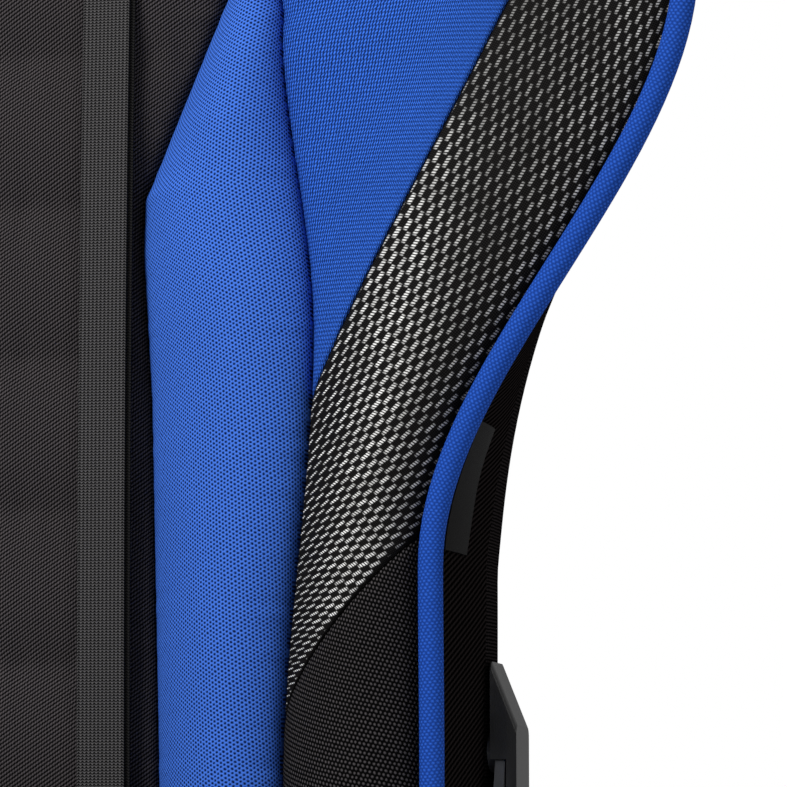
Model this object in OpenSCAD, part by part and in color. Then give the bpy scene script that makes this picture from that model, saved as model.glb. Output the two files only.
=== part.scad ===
// Reclining racing-style seat: padded bucket base and winged backrest on a steel frame,
// joined by two recliner hinges. The occupant faces -Y; left is the occupant's left, +X.
// Backrest pieces are drawn upright, with the hinge axis as their origin, and then leaned back.

/* [Posture] */
// How far the backrest leans back at rest
lean = 8; // [4:1:14]
// Hinge axis behind the middle of the mounting holes
pivot_y = 235; // [225:1:250]
// Hinge axis above the mounting face
pivot_z = 150; // [145:1:160]

/* [Backrest outline] */
// Lower edge of the backrest pads, from the hinge axis
back_start = -20; // [-22:1:-12]
// Top of the backrest above the hinge axis
back_top = 830; // [815:1:850]
// Half width at the waist
waist_half = 202; // [200:0.5:203]
// Half width at the shoulders
shoulder_half = 308; // [290:1:320]
// Height of the widest place of the shoulders
shoulder_h = 435; // [420:1:450]
// Half width of the head part
head_half = 156; // [154:1:164]
// Height at which the head part starts
head_h = 690; // [684:1:700]

/* [Backrest depth] */
// Thickness of the foam core across the middle
core_t = 8; // [6:0.5:9]
// Front of the foam core to the front of the rear panel
back_depth = 33; // [33:0.5:38]
// Thickness of the rear panel
panel_t = 4; // [3:0.5:6]
// Wall of the padded side panels
side_t = 5; // [4:0.5:6]
// Angle at which the wings turn forward
wing_angle = 27; // [22:1:30]
// Crown of the side bolsters
bolster_crown = 22; // [14:1:26]
// Crown of the wings
wing_crown = 16; // [10:1:18]
// Crown of the centre pad
centre_crown = 7; // [4:0.5:8]
// Height of one sewn channel
channel_pitch = 63.2; // [58:0.2:66]
// Radius of the welt
welt_r = 5; // [4:0.25:5.5]

/* [Straps] */
// Distance of each strap from the middle
strap_x = 58; // [56:1:60]
// Width of the elastic
strap_w = 20; // [16:1:22]
// Thickness of the elastic
strap_t = 1.6; // [1.2:0.1:2]

/* [Harness openings] */
// Inner edge of each opening from the middle
slot_in = 44; // [43:0.5:46]
// Outer edge of each opening from the middle
slot_out = 122; // [110:1:123]
// Lower edge of the openings
slot_low = 622; // [620:1:626]
// Upper edge of the openings
slot_high = 666; // [660:1:668]

/* [Frame] */
// Radius of the backrest tubes
tube_r = 11; // [9:0.5:11]
// Distance of the backrest tubes from the middle
tube_x = 180; // [176:1:181]
// Radius of the head hoop tube
hoop_r = 9; // [7:0.5:9]
// Distance of the head hoop from the middle
hoop_x = 136; // [135:0.5:137]

/* [Hinges] */
// Inner face of the seat bracket plates
bracket_x = 208.5; // [208:0.25:210]
// Thickness of the hinge plates
plate_t = 4; // [3:0.5:5]
// Radius of the pivot bolts
pivot_r = 8; // [6:0.5:9]
// Radius of the toothed end of the back arms
sector_r = 38; // [34:1:40]
// Width of the plastic hinge covers
cover_w = 14; // [13:0.5:18]
// Recline forward of rest, for entry to a rear seat
recline_forward = 8; // [2:1:8]
// Recline behind rest
recline_back = 57; // [30:1:57]

/* [Seat base] */
// Half width of the seat between the hinges
seat_rear_half = 203; // [196:1:204]
// Half width of the seat at the front
seat_half = 248; // [235:1:255]
// Length of the seat cushion
seat_length = 464; // [440:1:480]
// Height of the mounting rails
rail_h = 30; // [26:1:34]
// Height of the seat frame tubes
seat_tube = 20; // [18:1:24]
// Height of the foam base
foam_h = 47; // [42:1:52]
// Top of the centre pad above the foam base at the rear
seat_pad_h = 38; // [34:1:44]
// Height of the seat bolsters above the foam base
seat_bolster_h = 82; // [70:1:90]

/* [Mounting holes] */
// Distance between the holes across
hole_dx = 360; // [350:1:370]
// Distance between the holes front to back
hole_dy = 300; // [280:1:320]
// Radius of the holes
hole_r = 4.5; // [3.5:0.5:6]

/* [Hidden] */
$fn = 48;
seam_gap = 0.3;      // half the gap between neighbouring pads
lay_gap = 0.4;       // gap under and behind a soft piece
wing_gap = 0.9;      // the wing pads start this far beyond their seam with the bolster
wing_clear = 1.6;    // gap between the wing pads and the side panel
plate_gap = 0.5;     // gap between plates that turn past each other
running_gap = 0.05;  // gap round a turning shaft
bolt_gap = 0.1;      // gap round a bolt in its hole
edge_y = -16;        // front of the centre pad at its side seams
far = 700;           // longer than any cut

// ---- curves ----
function ease(t) = t * t * (3 - 2 * t);
function lerp(a, b, t) = a + (b - a) * t;
function clamp01(t) = min(1, max(0, t));
function flat(rows) = [for (row = rows) each row];
// Value at h of a list of [h, value] knots: linear, or eased from knot to knot
function linear_at(h, k) = lookup(h, k);
function eased_at(h, k, i = 0) =
    h <= k[0][0] ? k[0][1]
    : i >= len(k) - 1 ? k[i][1]
    : h <= k[i + 1][0] ? lerp(k[i][1], k[i + 1][1], ease((h - k[i][0]) / (k[i + 1][0] - k[i][0])))
    : eased_at(h, k, i + 1);
function hump(t) = 1 - pow(2 * t - 1, 2);

// ---- backrest outline, as [x, h] with x >= 0 ----
waist_h = 205;
side_knots = [[back_start, waist_half - 2], [waist_h, waist_half], [shoulder_h, shoulder_half],
    [head_h, head_half]];
corner_n = 3;        // exponent of the rounded head corners
function side_half(h) = eased_at(h, side_knots);
function head_width(h, inset = 0) =
    (head_half - inset) * pow(1 - pow((h - head_h) / (back_top - inset - head_h), corner_n), 1 / corner_n);
// Length across the outline, at height h, per unit of its thickness
function slant(h) = norm([1, (side_half(min(head_h, h + 1)) - side_half(h - 1)) / 2]);
side_steps = 30;
corner_steps = 13;
outline = concat(
    [for (i = [0:side_steps - 1])
        let (h = lerp(back_start, head_h, i / side_steps)) [side_half(h), h]],
    [for (i = [0:corner_steps])
        let (a = 90 * i / corner_steps)
        [head_half * pow(cos(a), 2 / corner_n), head_h + (back_top - head_h) * pow(sin(a), 2 / corner_n)]]);
last = len(outline) - 1;
function normal_at(i) =
    i == last ? [0, 1]
    : let (d = outline[min(last, i + 1)] - outline[max(0, i - 1)]) [d[1], -d[0]] / norm(d);
normals = [for (i = [0:last]) normal_at(i)];
// How much further out the side panel's rear edge is than its front edge
flare_knots = [[back_start, 0], [60, 1], [110, 8], [215, 8], [340, -20], [500, -22], [640, -6], [head_h, -4]];
function flare(h) = eased_at(h, flare_knots);

// ---- depth of the backrest ----
bend_x = 190;
function y_mid(x) = -max(0, abs(x) - bend_x) * tan(wing_angle);
front_knots = [[back_start, -46], [100, -56], [waist_h, -62], [480, -92], [head_h, -50], [740, -42], [back_top, -30]];
function y_edge(h) = eased_at(h, front_knots);
valley_knots = [[back_start, -36], [120, -46], [300, -50], [413, -40], [480, -24], [560, -18]];
function y_valley(h) = eased_at(h, valley_knots);
side_front_gap = 3;  // welt's middle line in front of the side panel's front edge
rear_lip = 0.5;      // side panel stands this far behind the rear panel
function y_rear(x) = y_mid(x) + back_depth + panel_t + rear_lip;
// Inner face of the side panel at height h and depth y
function inner_x(h, y) =
    let (y0 = y_edge(h) + side_front_gap, y1 = y_rear(side_half(h)))
    side_half(h) - (side_t + 1.5 * wing_clear - flare(h) * clamp01((y - y0) / (y1 - y0))) * slant(h);

// ---- seams of the backrest ----
merge_h = 480;       // height where the bolster runs out between its two seams
centre_top = 612;
wing_top = 676;
seam_a_knots = [[back_start, 80], [139, 77], [279, 73], [340, 69], [362, 69.5], [372, 74],
    [merge_h, 119], [600, 142], [centre_top, 143], [wing_top, 143]];
function seam_a(h) = linear_at(h, seam_a_knots);
seam_b_knots = [[back_start, 130], [120, 136], [300, 149], [430, 133], [merge_h, 121]];
function seam_b(h) = h <= merge_h ? eased_at(h, seam_b_knots) : seam_a(h) + 2;
wing_edge_in = side_t + wing_clear;
function wing_x(h, t) = lerp(seam_b(h) + wing_gap, side_half(h) - wing_edge_in * slant(h), t);
function wing_y(h, t) = lerp(y_valley(h), y_edge(h) + side_front_gap, t) - wing_crown * hump(t);
// The straight seam between the coloured shoulder and the mesh, and the curved one below the mesh
diagonal_h = 272;
diagonal_slope = 0.574;
function diagonal_x(h) = seam_b(diagonal_h) + diagonal_slope * (h - diagonal_h);
function diagonal_at(t, lo = 262, hi = 560, n = 16) =
    let (m = (lo + hi) / 2)
    n == 0 ? m
    : wing_x(m, t) > diagonal_x(m) ? diagonal_at(t, m, hi, n - 1)
    : diagonal_at(t, lo, m, n - 1);
lower_h = 147;
lower_rise = 71;
function lower_at(t) = lower_h + lower_rise * pow(t, 0.75);

// ---- solids from grids ----
// Closed solid between a front and a rear grid of equal size; rows run up, columns to the right
module between(front, rear) {
    n = len(front);
    m = len(front[0]);
    r = n * m;
    polyhedron(points = concat(flat(front), flat(rear)), faces = concat(
        [for (i = [0:n - 2], j = [0:m - 2]) let (a = i * m + j) each [[a, a + m, a + 1], [a + 1, a + m, a + m + 1]]],
        [for (i = [0:n - 2], j = [0:m - 2]) let (a = r + i * m + j) each [[a, a + 1, a + m], [a + 1, a + m + 1, a + m]]],
        [for (j = [0:m - 2]) each [[j, j + 1, r + j], [j + 1, r + j + 1, r + j]]],
        [for (j = [0:m - 2]) let (a = (n - 1) * m + j) each [[a, r + a, a + 1], [a + 1, r + a, r + a + 1]]],
        [for (i = [0:n - 2]) let (a = i * m) each [[a, r + a, a + m], [a + m, r + a, r + a + m]]],
        [for (i = [0:n - 2]) let (a = i * m + m - 1) each [[a, a + m, r + a], [a + m, r + a + m, r + a]]]),
        convexity = 8);
}
// Closed tube of any section: a list of rings of equal length
module rings(list) {
    n = len(list);
    m = len(list[0]);
    polyhedron(points = flat(list), faces = concat(
        [for (i = [0:n - 2], j = [0:m - 1])
            let (a = i * m + j, b = i * m + (j + 1) % m) each [[a, a + m, b], [b, a + m, b + m]]],
        [for (j = [1:m - 2]) [0, j, j + 1]],
        [for (j = [1:m - 2]) let (a = (n - 1) * m) [a, a + j + 1, a + j]]), convexity = 8);
}
function unit(v) = v / norm(v);
// Rings of a round cord of radius r along a path
function cord(path, r, sides) =
    let (n = len(path))
    [for (i = [0:n - 1])
        let (d = unit(path[min(n - 1, i + 1)] - path[max(0, i - 1)]),
            u = unit(abs(d[1]) < 0.8 ? cross(d, [0, 1, 0]) : cross(d, [1, 0, 0])),
            v = cross(d, u))
        [for (k = [0:sides - 1]) path[i] + r * (cos(360 * k / sides) * u + sin(360 * k / sides) * v)]];

// ---- placing ----
module leaned() { translate([0, pivot_y, pivot_z]) rotate([-lean, 0, 0]) children(); }
module hinged() { translate([0, pivot_y, pivot_z]) children(); }
module side(left) { if (left) children(); else mirror([1, 0, 0]) children(); }
// Flat shape in [y, h] made a plate from x0 to x1
module plate(x0, x1) { translate([x0, 0, 0]) rotate([90, 0, 90]) linear_extrude(x1 - x0) children(); }
module pin(x0, x1, y, z, r) { translate([x0, y, z]) rotate([0, 90, 0]) cylinder(r = r, h = x1 - x0); }
// Flat shape in [x, h] made a plate from y0 to y1
module wall(y0, y1) { translate([0, y1, 0]) rotate([90, 0, 0]) linear_extrude(y1 - y0) children(); }
module rounded(size, r) {
    hull() for (x = [r, size[0] - r], y = [r, size[1] - r]) translate([x, y]) circle(r, $fn = 32);
}

// ---- backrest core ----
// Backrest outline moved inwards by gap and by as much of the side panel's flare as both share
module outline_shape(gap, outward) {
    half = [for (i = [0:last])
        let (f = flare(outline[i][1]), p = outline[i] + normals[i] * (min(f, outward ? f : 0) - gap)) [p[0], p[1]]];
    right = [for (i = [0:last]) if (half[i][0] > 0) half[i]];
    polygon(concat([for (p = right) p], [for (i = [len(right) - 1:-1:0]) [-right[i][0], right[i][1]]]));
}
wing_reach = 360;
// Section of a layer from y0 to y1 that follows the bend of the wings; deep at the sides to y2
module bent_layer(y0, y1, y2) {
    e = y_mid(wing_reach);
    s = bend_x + 3;
    translate([0, 0, -1]) linear_extrude(back_top + 10) polygon([
        [-wing_reach, e + y0], [-bend_x, y0], [bend_x, y0], [wing_reach, e + y0],
        [wing_reach, e + y2], [s, y_mid(s) + y2], [s, y_mid(s) + y1], [bend_x, y1],
        [-bend_x, y1], [-s, y_mid(s) + y1], [-s, y_mid(s) + y2], [-wing_reach, e + y2]]);
}
bezel_wall = 3;
module slot_cuts(grow) {
    for (s = [-1, 1]) scale([s, 1, 1])
        translate([slot_in - grow, far / 2, slot_low - grow]) rotate([90, 0, 0]) linear_extrude(far)
            square([slot_out - slot_in + 2 * grow, slot_high - slot_low + 2 * grow]);
}
tube_y = core_t + 2.4 + tube_r;
boss_h = [70, 135];
boss_r = 9;
arm_x = bracket_x + plate_t + plate_gap;
module boss_cuts(r) { for (h = boss_h) pin(-far / 2, far / 2, tube_y, h, r); }
screw_places = [for (x = [-150, 150], h = [60, 360, 560]) [x, h]];
panel_screw_r = 2.5;
module back_core() {
    color("#e8dca8") leaned() difference() {
        intersection() {
            wall(-far / 2, 60) outline_shape(side_t + lay_gap, false);
            bent_layer(0, core_t, back_depth - lay_gap);
        }
        slot_cuts(bezel_wall + seam_gap);
        boss_cuts(boss_r + seam_gap);
    }
}
module back_panel() {
    color("#1d1d20") leaned() difference() {
        intersection() {
            wall(-far / 2, 60) outline_shape(side_t + lay_gap + 0.2, true);
            bent_layer(back_depth, back_depth + panel_t, back_depth + panel_t);
        }
        slot_cuts(bezel_wall + seam_gap);
        boss_cuts(boss_r + seam_gap);
        for (p = screw_places) translate([p[0], 60, p[1]]) rotate([90, 0, 0]) cylinder(r = panel_screw_r + bolt_gap, h = 60);
    }
}
tab_t = 3;
module panel_screws() {
    color("#222222") leaned() for (p = screw_places) translate([p[0], back_depth - tab_t, p[1]])
        rotate([-90, 0, 0]) {
            cylinder(r = panel_screw_r, h = panel_t + tab_t);
            translate([0, 0, panel_t + tab_t]) cylinder(r = 6, h = 1.6);
        }
}

// ---- backrest frame ----
frame_low = 20;
frame_high = 560;
tab_w = 36;
module back_frame() {
    color("#2b2d31") leaned() difference() {
        union() {
            for (s = [-1, 1]) {
                translate([s * tube_x, tube_y, frame_low]) cylinder(r = tube_r, h = frame_high - frame_low);
                for (h = boss_h) pin(min(s * tube_x, s * arm_x), max(s * tube_x, s * arm_x), tube_y, h, boss_r);
                for (h = [frame_low, frame_high]) translate([s * tube_x, tube_y, h]) sphere(tube_r);
            }
            for (h = [frame_low, frame_high]) pin(-tube_x, tube_x, tube_y, h, tube_r);
            for (p = screw_places) translate([p[0] + (p[0] > 0 ? -8 : -tab_w + 8), back_depth - tab_t, p[1] - 10])
                cube([tab_w, tab_t - 0.2, 20]);
        }
        for (h = boss_h) pin(-arm_x - 1, -arm_x + 30, tube_y, h, arm_bolt_r + bolt_gap);
        for (h = boss_h) pin(arm_x - 30, arm_x + 1, tube_y, h, arm_bolt_r + bolt_gap);
        for (p = screw_places) translate([p[0], back_depth - 2 * tab_t, p[1]]) rotate([-90, 0, 0])
            cylinder(r = panel_screw_r + bolt_gap, h = 3 * tab_t);
    }
}
hoop_top = 742;
hoop_bend = 28;
module head_frame() {
    z0 = frame_high + tube_r - 1.5;
    color("#2b2d31") leaned() translate([0, tube_y, 0]) difference() {
        union() {
            for (s = [-1, 1]) scale([s, 1, 1]) {
                translate([hoop_x, 0, z0]) cylinder(r = hoop_r, h = hoop_top - hoop_bend - z0);
                translate([hoop_x - hoop_bend, 0, hoop_top - hoop_bend]) rotate([90, 0, 0])
                    rotate_extrude(angle = 90) translate([hoop_bend, 0]) circle(hoop_r);
            }
            pin(-hoop_x + hoop_bend, hoop_x - hoop_bend, 0, hoop_top, hoop_r);
        }
        pin(-far / 2, far / 2, 0, frame_high, tube_r + 0.02);
    }
}
band_w = 38;
band_t = 1.6;
band_count = 6;
band_end = 4;        // webbing beyond the middle of the tubes
band_margin = 50;    // lowest band above the lower cross tube
module back_webbing() {
    low = frame_low + band_margin;
    high = frame_high - band_w - 2;
    color("#3a3a3a") leaned() for (i = [0:band_count - 1])
        translate([-tube_x - band_end, tube_y - tube_r - band_t - 0.2, lerp(low, high, i / (band_count - 1))])
            cube([2 * (tube_x + band_end), band_t, band_w]);
}

// ---- backrest pads ----
module side_panel(left) {
    shell = [for (i = [0:last])
        let (p = outline[i], n = normals[i], f = flare(p[1]), yf = y_edge(p[1]) + side_front_gap,
            a = p, b = p + f * n, c = b - side_t * n, d = a - side_t * n, yr = y_rear(b[0]), at_top = i == last)
        at_top ? [[seam_gap / 2, yf, a[1]], [seam_gap / 2, yr, b[1]], [seam_gap / 2, yr, c[1]], [seam_gap / 2, yf, d[1]]]
        : [[a[0], yf, a[1]], [b[0], yr, b[1]], [c[0], yr, c[1]], [d[0], yf, d[1]]]];
    color("#151414") leaned() side(left) difference() {
        rings(shell);
        for (h = boss_h) pin(waist_half - 30, waist_half + 30, tube_y, h, boss_r + lay_gap);
    }
}
pad_columns = 8;
channel_rows = [0, 0.12, 0.5, 0.88];
channel_puff = 5;
channels = ceil((centre_top - back_start) / channel_pitch);
function puff(h) = pow(hump(((h - back_start) / channel_pitch) % 1), 0.5);
module centre_pad() {
    hs = concat([for (c = [0:channels - 1], v = channel_rows)
        let (h = back_start + (c + v) * channel_pitch) if (h < centre_top - 3) h], [centre_top]);
    front = [for (h = hs) [for (j = [0:pad_columns])
        let (u = 2 * j / pad_columns - 1)
        [u * (seam_a(h) - seam_gap), edge_y - (centre_crown + channel_puff * puff(h)) * (1 - pow(abs(u), 2.5)), h]]];
    rear = [for (h = hs) [for (j = [0:pad_columns])
        let (u = 2 * j / pad_columns - 1) [u * (seam_a(h) - seam_gap), -lay_gap, h]]];
    color("#232122") leaned() between(front, rear);
}
function bolster_width(h) = seam_b(h) - seam_a(h) - 2 * seam_gap;
module bolster(left) {
    hs = [for (i = [0:22]) lerp(back_start, merge_h, i / 22)];
    cols = [for (j = [0:6]) j / 6];
    function at(h, t) = seam_a(h) + seam_gap + bolster_width(h) * t;
    front = [for (h = hs) [for (t = cols)
        [at(h, t), lerp(edge_y, y_valley(h), t) - bolster_crown * hump(t) * min(1, bolster_width(h) / 55), h]]];
    rear = [for (h = hs) [for (t = cols) [at(h, t), -lay_gap, h]]];
    color("#2f63c4") leaned() side(left) between(front, rear);
}
// One piece of the wing, from the lower to the upper of two edges given per column
module wing_piece(lower, upper, rows, cols) {
    front = [for (i = [0:rows]) [for (j = [0:cols])
        let (t = j / cols, h = lerp(lower[j], upper[j], i / rows)) [wing_x(h, t), wing_y(h, t), h]]];
    rear = [for (i = [0:rows]) [for (j = [0:cols])
        let (t = j / cols, h = lerp(lower[j], upper[j], i / rows),
            out = inner_x(h, y_mid(side_half(h))), x = lerp(seam_b(h) + wing_gap, out, t))
        [x, y_mid(x) - lay_gap, h]]];
    between(front, rear);
}
wing_cols = 8;
diagonal = [for (j = [0:wing_cols]) diagonal_at(j / wing_cols)];
lower_seam = [for (j = [0:wing_cols]) lower_at(j / wing_cols)];
function all_at(h) = [for (j = [0:wing_cols]) h];
function shifted(list, d) = [for (v = list) v + d];
module wing_blue(left) {
    color("#2f63c4") leaned() side(left) wing_piece(shifted(diagonal, seam_gap), all_at(wing_top), 14, wing_cols);
}
module wing_mesh(left) {
    color("#4a4848") leaned() side(left)
        wing_piece(shifted(lower_seam, seam_gap), shifted(diagonal, -seam_gap), 12, wing_cols);
}
module wing_lower(left) {
    color("#1a1919") leaned() side(left) wing_piece(all_at(back_start), shifted(lower_seam, -seam_gap), 6, wing_cols);
}
welt_in = 1;         // welt's middle line inside the outline
welt_front = 2.4;    // and in front of the edge line
module back_piping() {
    half = [for (i = [0:last])
        let (p = outline[i] - welt_in * normals[i]) [p[0], y_edge(outline[i][1]) - welt_front, p[1]]];
    path = concat([for (p = half) p], [for (i = [last - 1:-1:0]) [-half[i][0], half[i][1], half[i][2]]]);
    color("#2c5cb8") leaned() rings(cord(path, welt_r, 8));
}
head_low = wing_top + 0.6;
head_crown = 14;
head_front_in = wing_edge_in + 1;      // front edge of the head pad inside the outline
head_rear_in = head_front_in + 3.4;    // and its rear edge, where the side panel leans in
module head_pad() {
    rows = 12;
    cols = 12;
    hs = [for (i = [0:rows]) lerp(head_low, back_top - head_rear_in - 2, 1 - pow(1 - i / rows, 1.6))];
    function width(h, inset) = h <= head_h ? side_half(h) - inset * slant(h) : head_width(h, inset);
    front = [for (i = [0:rows]) [for (j = [0:cols])
        let (h = hs[i], u = 2 * j / cols - 1, v = i / rows)
        [u * width(h, head_front_in), y_edge(h) + side_front_gap - head_crown * (1 - u * u) * pow(hump(v), 0.4), h]]];
    rear = [for (h = hs) [for (j = [0:cols]) [(2 * j / cols - 1) * width(h, head_rear_in), -lay_gap, h]]];
    color("#232122") leaned() between(front, rear);
}
neck_half = slot_in - bezel_wall - 3;
module neck_pad() {
    rows = 6;
    cols = 6;
    front = [for (i = [0:rows]) [for (j = [0:cols])
        let (u = 2 * j / cols - 1, v = i / rows)
        [u * neck_half, edge_y - 6 * (1 - u * u) * (1 - 0.4 * hump(v)) - 14 * v * v, lerp(centre_top + 0.6, wing_top, v)]]];
    rear = [for (i = [0:rows]) [for (j = [0:cols])
        [(2 * j / cols - 1) * neck_half, -lay_gap, lerp(centre_top + 0.6, wing_top, i / rows)]]];
    color("#232122") leaned() between(front, rear);
}
flange_t = 7;
module harness_bezel(left) {
    w = slot_out - slot_in;
    h = slot_high - slot_low;
    color("#17181a") leaned() side(left) difference() {
        union() {
            wall(-flange_t, -lay_gap) translate([neck_half + 0.8, centre_top + 1])
                rounded([seam_a(centre_top) - neck_half - 2.4, wing_top - centre_top - 1.6], 6);
            wall(-1, back_depth + panel_t + 1) translate([slot_in - bezel_wall, slot_low - bezel_wall])
                square([w + 2 * bezel_wall, h + 2 * bezel_wall]);
        }
        wall(-20, 60) translate([slot_in, slot_low]) square([w, h]);
    }
}

// ---- straps and lumbar cushion ----
strap_front = edge_y - centre_crown - channel_puff - 0.4;
strap_rear = back_depth + panel_t + 2.4;
strap_low = back_start - 1.6;
strap_high = slot_low + 3;
module strap_loop(grow) {
    translate([strap_front - grow, strap_low - strap_t - grow])
        rounded([strap_rear - strap_front + strap_t + 2 * grow, strap_high - strap_low + strap_t + 2 * grow], 2.5 + grow);
}
module strap(left) {
    color("#4d4d50") leaned() side(left) translate([strap_x - strap_w / 2, 0, 0]) rotate([90, 0, 90])
        linear_extrude(strap_w) difference() {
            translate([0, strap_t]) strap_loop(0);
            translate([0, strap_t]) offset(delta = -strap_t) strap_loop(0);
        }
}
buckle_h = 330;
module strap_buckles() {
    color("#17181a") leaned() for (s = [-1, 1]) translate([s * strap_x, strap_rear + strap_t + 0.3, buckle_h])
        difference() {
            translate([-15, 0, 0]) cube([30, 5, 34]);
            for (z = [6, 15, 24]) translate([-10.5, -1, z]) cube([21, 7, 4]);
        }
}
lumbar_low = 18;
lumbar_high = 112;
lumbar_half = 118;
lumbar_rise = 80;    // travel of the cushion up the straps
module lumbar_cushion() {
    rows = 10;
    cols = 14;
    rear_y = strap_front - 0.4;
    side_y = -66;
    function rim(v) = pow(hump(v), 0.5);
    function half(v) = lumbar_half - 7 * (1 - rim(v));
    function back_y(x) = lerp(rear_y, side_y, clamp01((abs(x) - 68) / (lumbar_half - 68)));
    front = [for (i = [0:rows]) [for (j = [0:cols])
        let (v = i / rows, u = 2 * j / cols - 1, x = u * half(v))
        [x, back_y(x) - 8 - 44 * rim(v) * pow(1 - u * u, 0.45), lerp(lumbar_low, lumbar_high, v)]]];
    rear = [for (i = [0:rows]) [for (j = [0:cols])
        let (v = i / rows, x = (2 * j / cols - 1) * half(v)) [x, back_y(x) - 3 * (1 - rim(v)), lerp(lumbar_low, lumbar_high, v)]]];
    color("#232122") leaned() between(front, rear);
}
label_low = 212;
label_high = 262;
label_gap = 1.7;     // clears the facets of the side panel
// Bare woven tab sewn flat on the left side panel, beside the welt
module side_label() {
    hs = [for (i = [0:5]) lerp(label_low, label_high, i / 5)];
    front_line = [for (i = [0:side_steps]) [outline[i][1], outline[i][0]]];
    rear_line = [for (i = [0:side_steps])
        let (p = outline[i] + flare(outline[i][1]) * normals[i]) [p[1], p[0]]];
    function place(h, k) =
        let (y0 = y_edge(h) + side_front_gap, y1 = y_rear(side_half(h)), y = lerp(y0, y1, k))
        [lerp(lookup(h, front_line), lookup(h, rear_line), k) + label_gap, y];
    front = [for (h = hs) [for (k = [0.1, 0.32]) let (p = place(h, k)) [p[0] + 1.2, p[1], h]]];
    rear = [for (h = hs) [for (k = [0.1, 0.32]) let (p = place(h, k)) [p[0], p[1], h]]];
    color("#0d0c0c") leaned() between(front, rear);
}

// ---- hinges, with the pivot axis as origin of [y, z] ----
arm_bolt_r = 4;
bolt_head_r = 8;
bolt_head_t = 3.5;
arm_out = arm_x + plate_t;
cover_x = arm_out + 0.6;
cover_out = bracket_x + 4.5 + cover_w;
tooth_from = 202;
tooth_step = 6;
teeth = ceil((recline_forward + recline_back) / tooth_step) + 3;
tooth_depth = 3;
arm_end_r = [15, 11];    // round the lower and the upper arm bolt
// Toothed round end of the back arm: notches cut along the lower front of the sector
module arm_shape(toothed) {
    difference() {
        hull() {
            circle(sector_r);
            for (i = [0, 1]) translate([tube_y, boss_h[i]]) circle(arm_end_r[i]);
        }
        if (toothed) for (i = [0:teeth - 1]) rotate(tooth_from + i * tooth_step) translate([sector_r, 0])
            rotate(45) square(tooth_depth * sqrt(2), center = true);
    }
}
module back_arm(left) {
    color("#3c3f44") leaned() side(left) difference() {
        plate(arm_x, arm_out) arm_shape(!left);
        pin(arm_x - 1, arm_out + 1, 0, 0, pivot_r + running_gap);
        for (h = boss_h) pin(arm_x - 1, arm_out + 1, tube_y, h, arm_bolt_r + bolt_gap);
        for (p = upper_screws) pin(arm_x - 1, arm_out + 1, p[0], p[1], screw_r + bolt_gap);
    }
}
module arm_bolts() {
    color("#8d9096") leaned() for (s = [false, true]) side(s) for (h = boss_h) {
        pin(arm_x - 26, arm_out, tube_y, h, arm_bolt_r);
        pin(arm_out, arm_out + bolt_head_t, tube_y, h, bolt_head_r);
    }
}
rail_x = hole_dx / 2;
frame_z = rail_h;
frame_top = rail_h + seat_tube;
frame_half = 200;
frame_rear = pivot_y - 30;
frame_front = frame_rear - 460;
bracket_bolt_y = [-62, -160];          // from the hinge axis
bracket_bolt_z = frame_z + seat_tube / 2 - pivot_z;
shaft_y = -48;
shaft_z = -30;
shaft_r = 5;
module bracket_shape() {
    difference() {
        hull() {
            circle(40);
            translate([shaft_y, shaft_z]) circle(14);
            for (y = bracket_bolt_y) translate([y, bracket_bolt_z]) circle(14);
        }
        translate([-104, -90]) circle(14);
    }
}
module hinge_bracket(left) {
    color("#3c3f44") hinged() side(left) difference() {
        plate(bracket_x, bracket_x + plate_t) bracket_shape();
        pin(bracket_x - 1, arm_x, 0, 0, pivot_r + bolt_gap);
        pin(bracket_x - 1, arm_x, shaft_y, shaft_z, shaft_r + 0.15);
        for (y = bracket_bolt_y) pin(bracket_x - 1, arm_x, y, bracket_bolt_z, arm_bolt_r + bolt_gap);
        for (p = lower_screws) pin(bracket_x - 1, arm_x, p[0], p[1], screw_r + bolt_gap);
    }
}
module bracket_bolts() {
    color("#8d9096") hinged() for (s = [false, true]) side(s) for (y = bracket_bolt_y) {
        pin(bracket_x - 22, bracket_x + plate_t, y, bracket_bolt_z, arm_bolt_r);
        pin(bracket_x + plate_t, bracket_x + plate_t + bolt_head_t, y, bracket_bolt_z, bolt_head_r);
    }
}
nut_r = 11;
nut_t = 3.5;
pivot_head_r = 12;
module pivot_bolts() {
    color("#8d9096") hinged() for (s = [false, true]) side(s) {
        pin(bracket_x - nut_t, arm_out + 0.2, 0, 0, pivot_r);
        pin(bracket_x - nut_t, bracket_x, 0, 0, nut_r, $fn = 6);
        pin(arm_out + 0.2, arm_out + 5, 0, 0, pivot_head_r);
    }
}
hub_r = 44;
hub_gap = 1.5;
bevel = 9;
tip_y = [7, 36.5];   // front and rear of the cover's upper end
tip_low = 80;        // where the upper end rises out of the hub's body
tip_shoulder = 145;  // where its outer face turns into the sloping top
tip_top = 171;       // and where the top meets the side panel
tip_out = waist_half + 19.9;
body_end = [20, 96];
body_end_r = 20;
upper_screws = [[13, 100], [30, 104]];
lower_screws = [[-80, -92], [-34, -84]];
screw_r = 2.2;
screw_head_r = 4;
screw_head_t = 2.4;
module tip_section(high) {
    translate([tip_y[0], tip_low]) rounded([tip_y[1] - tip_y[0], high - tip_low], 4);
}
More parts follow.
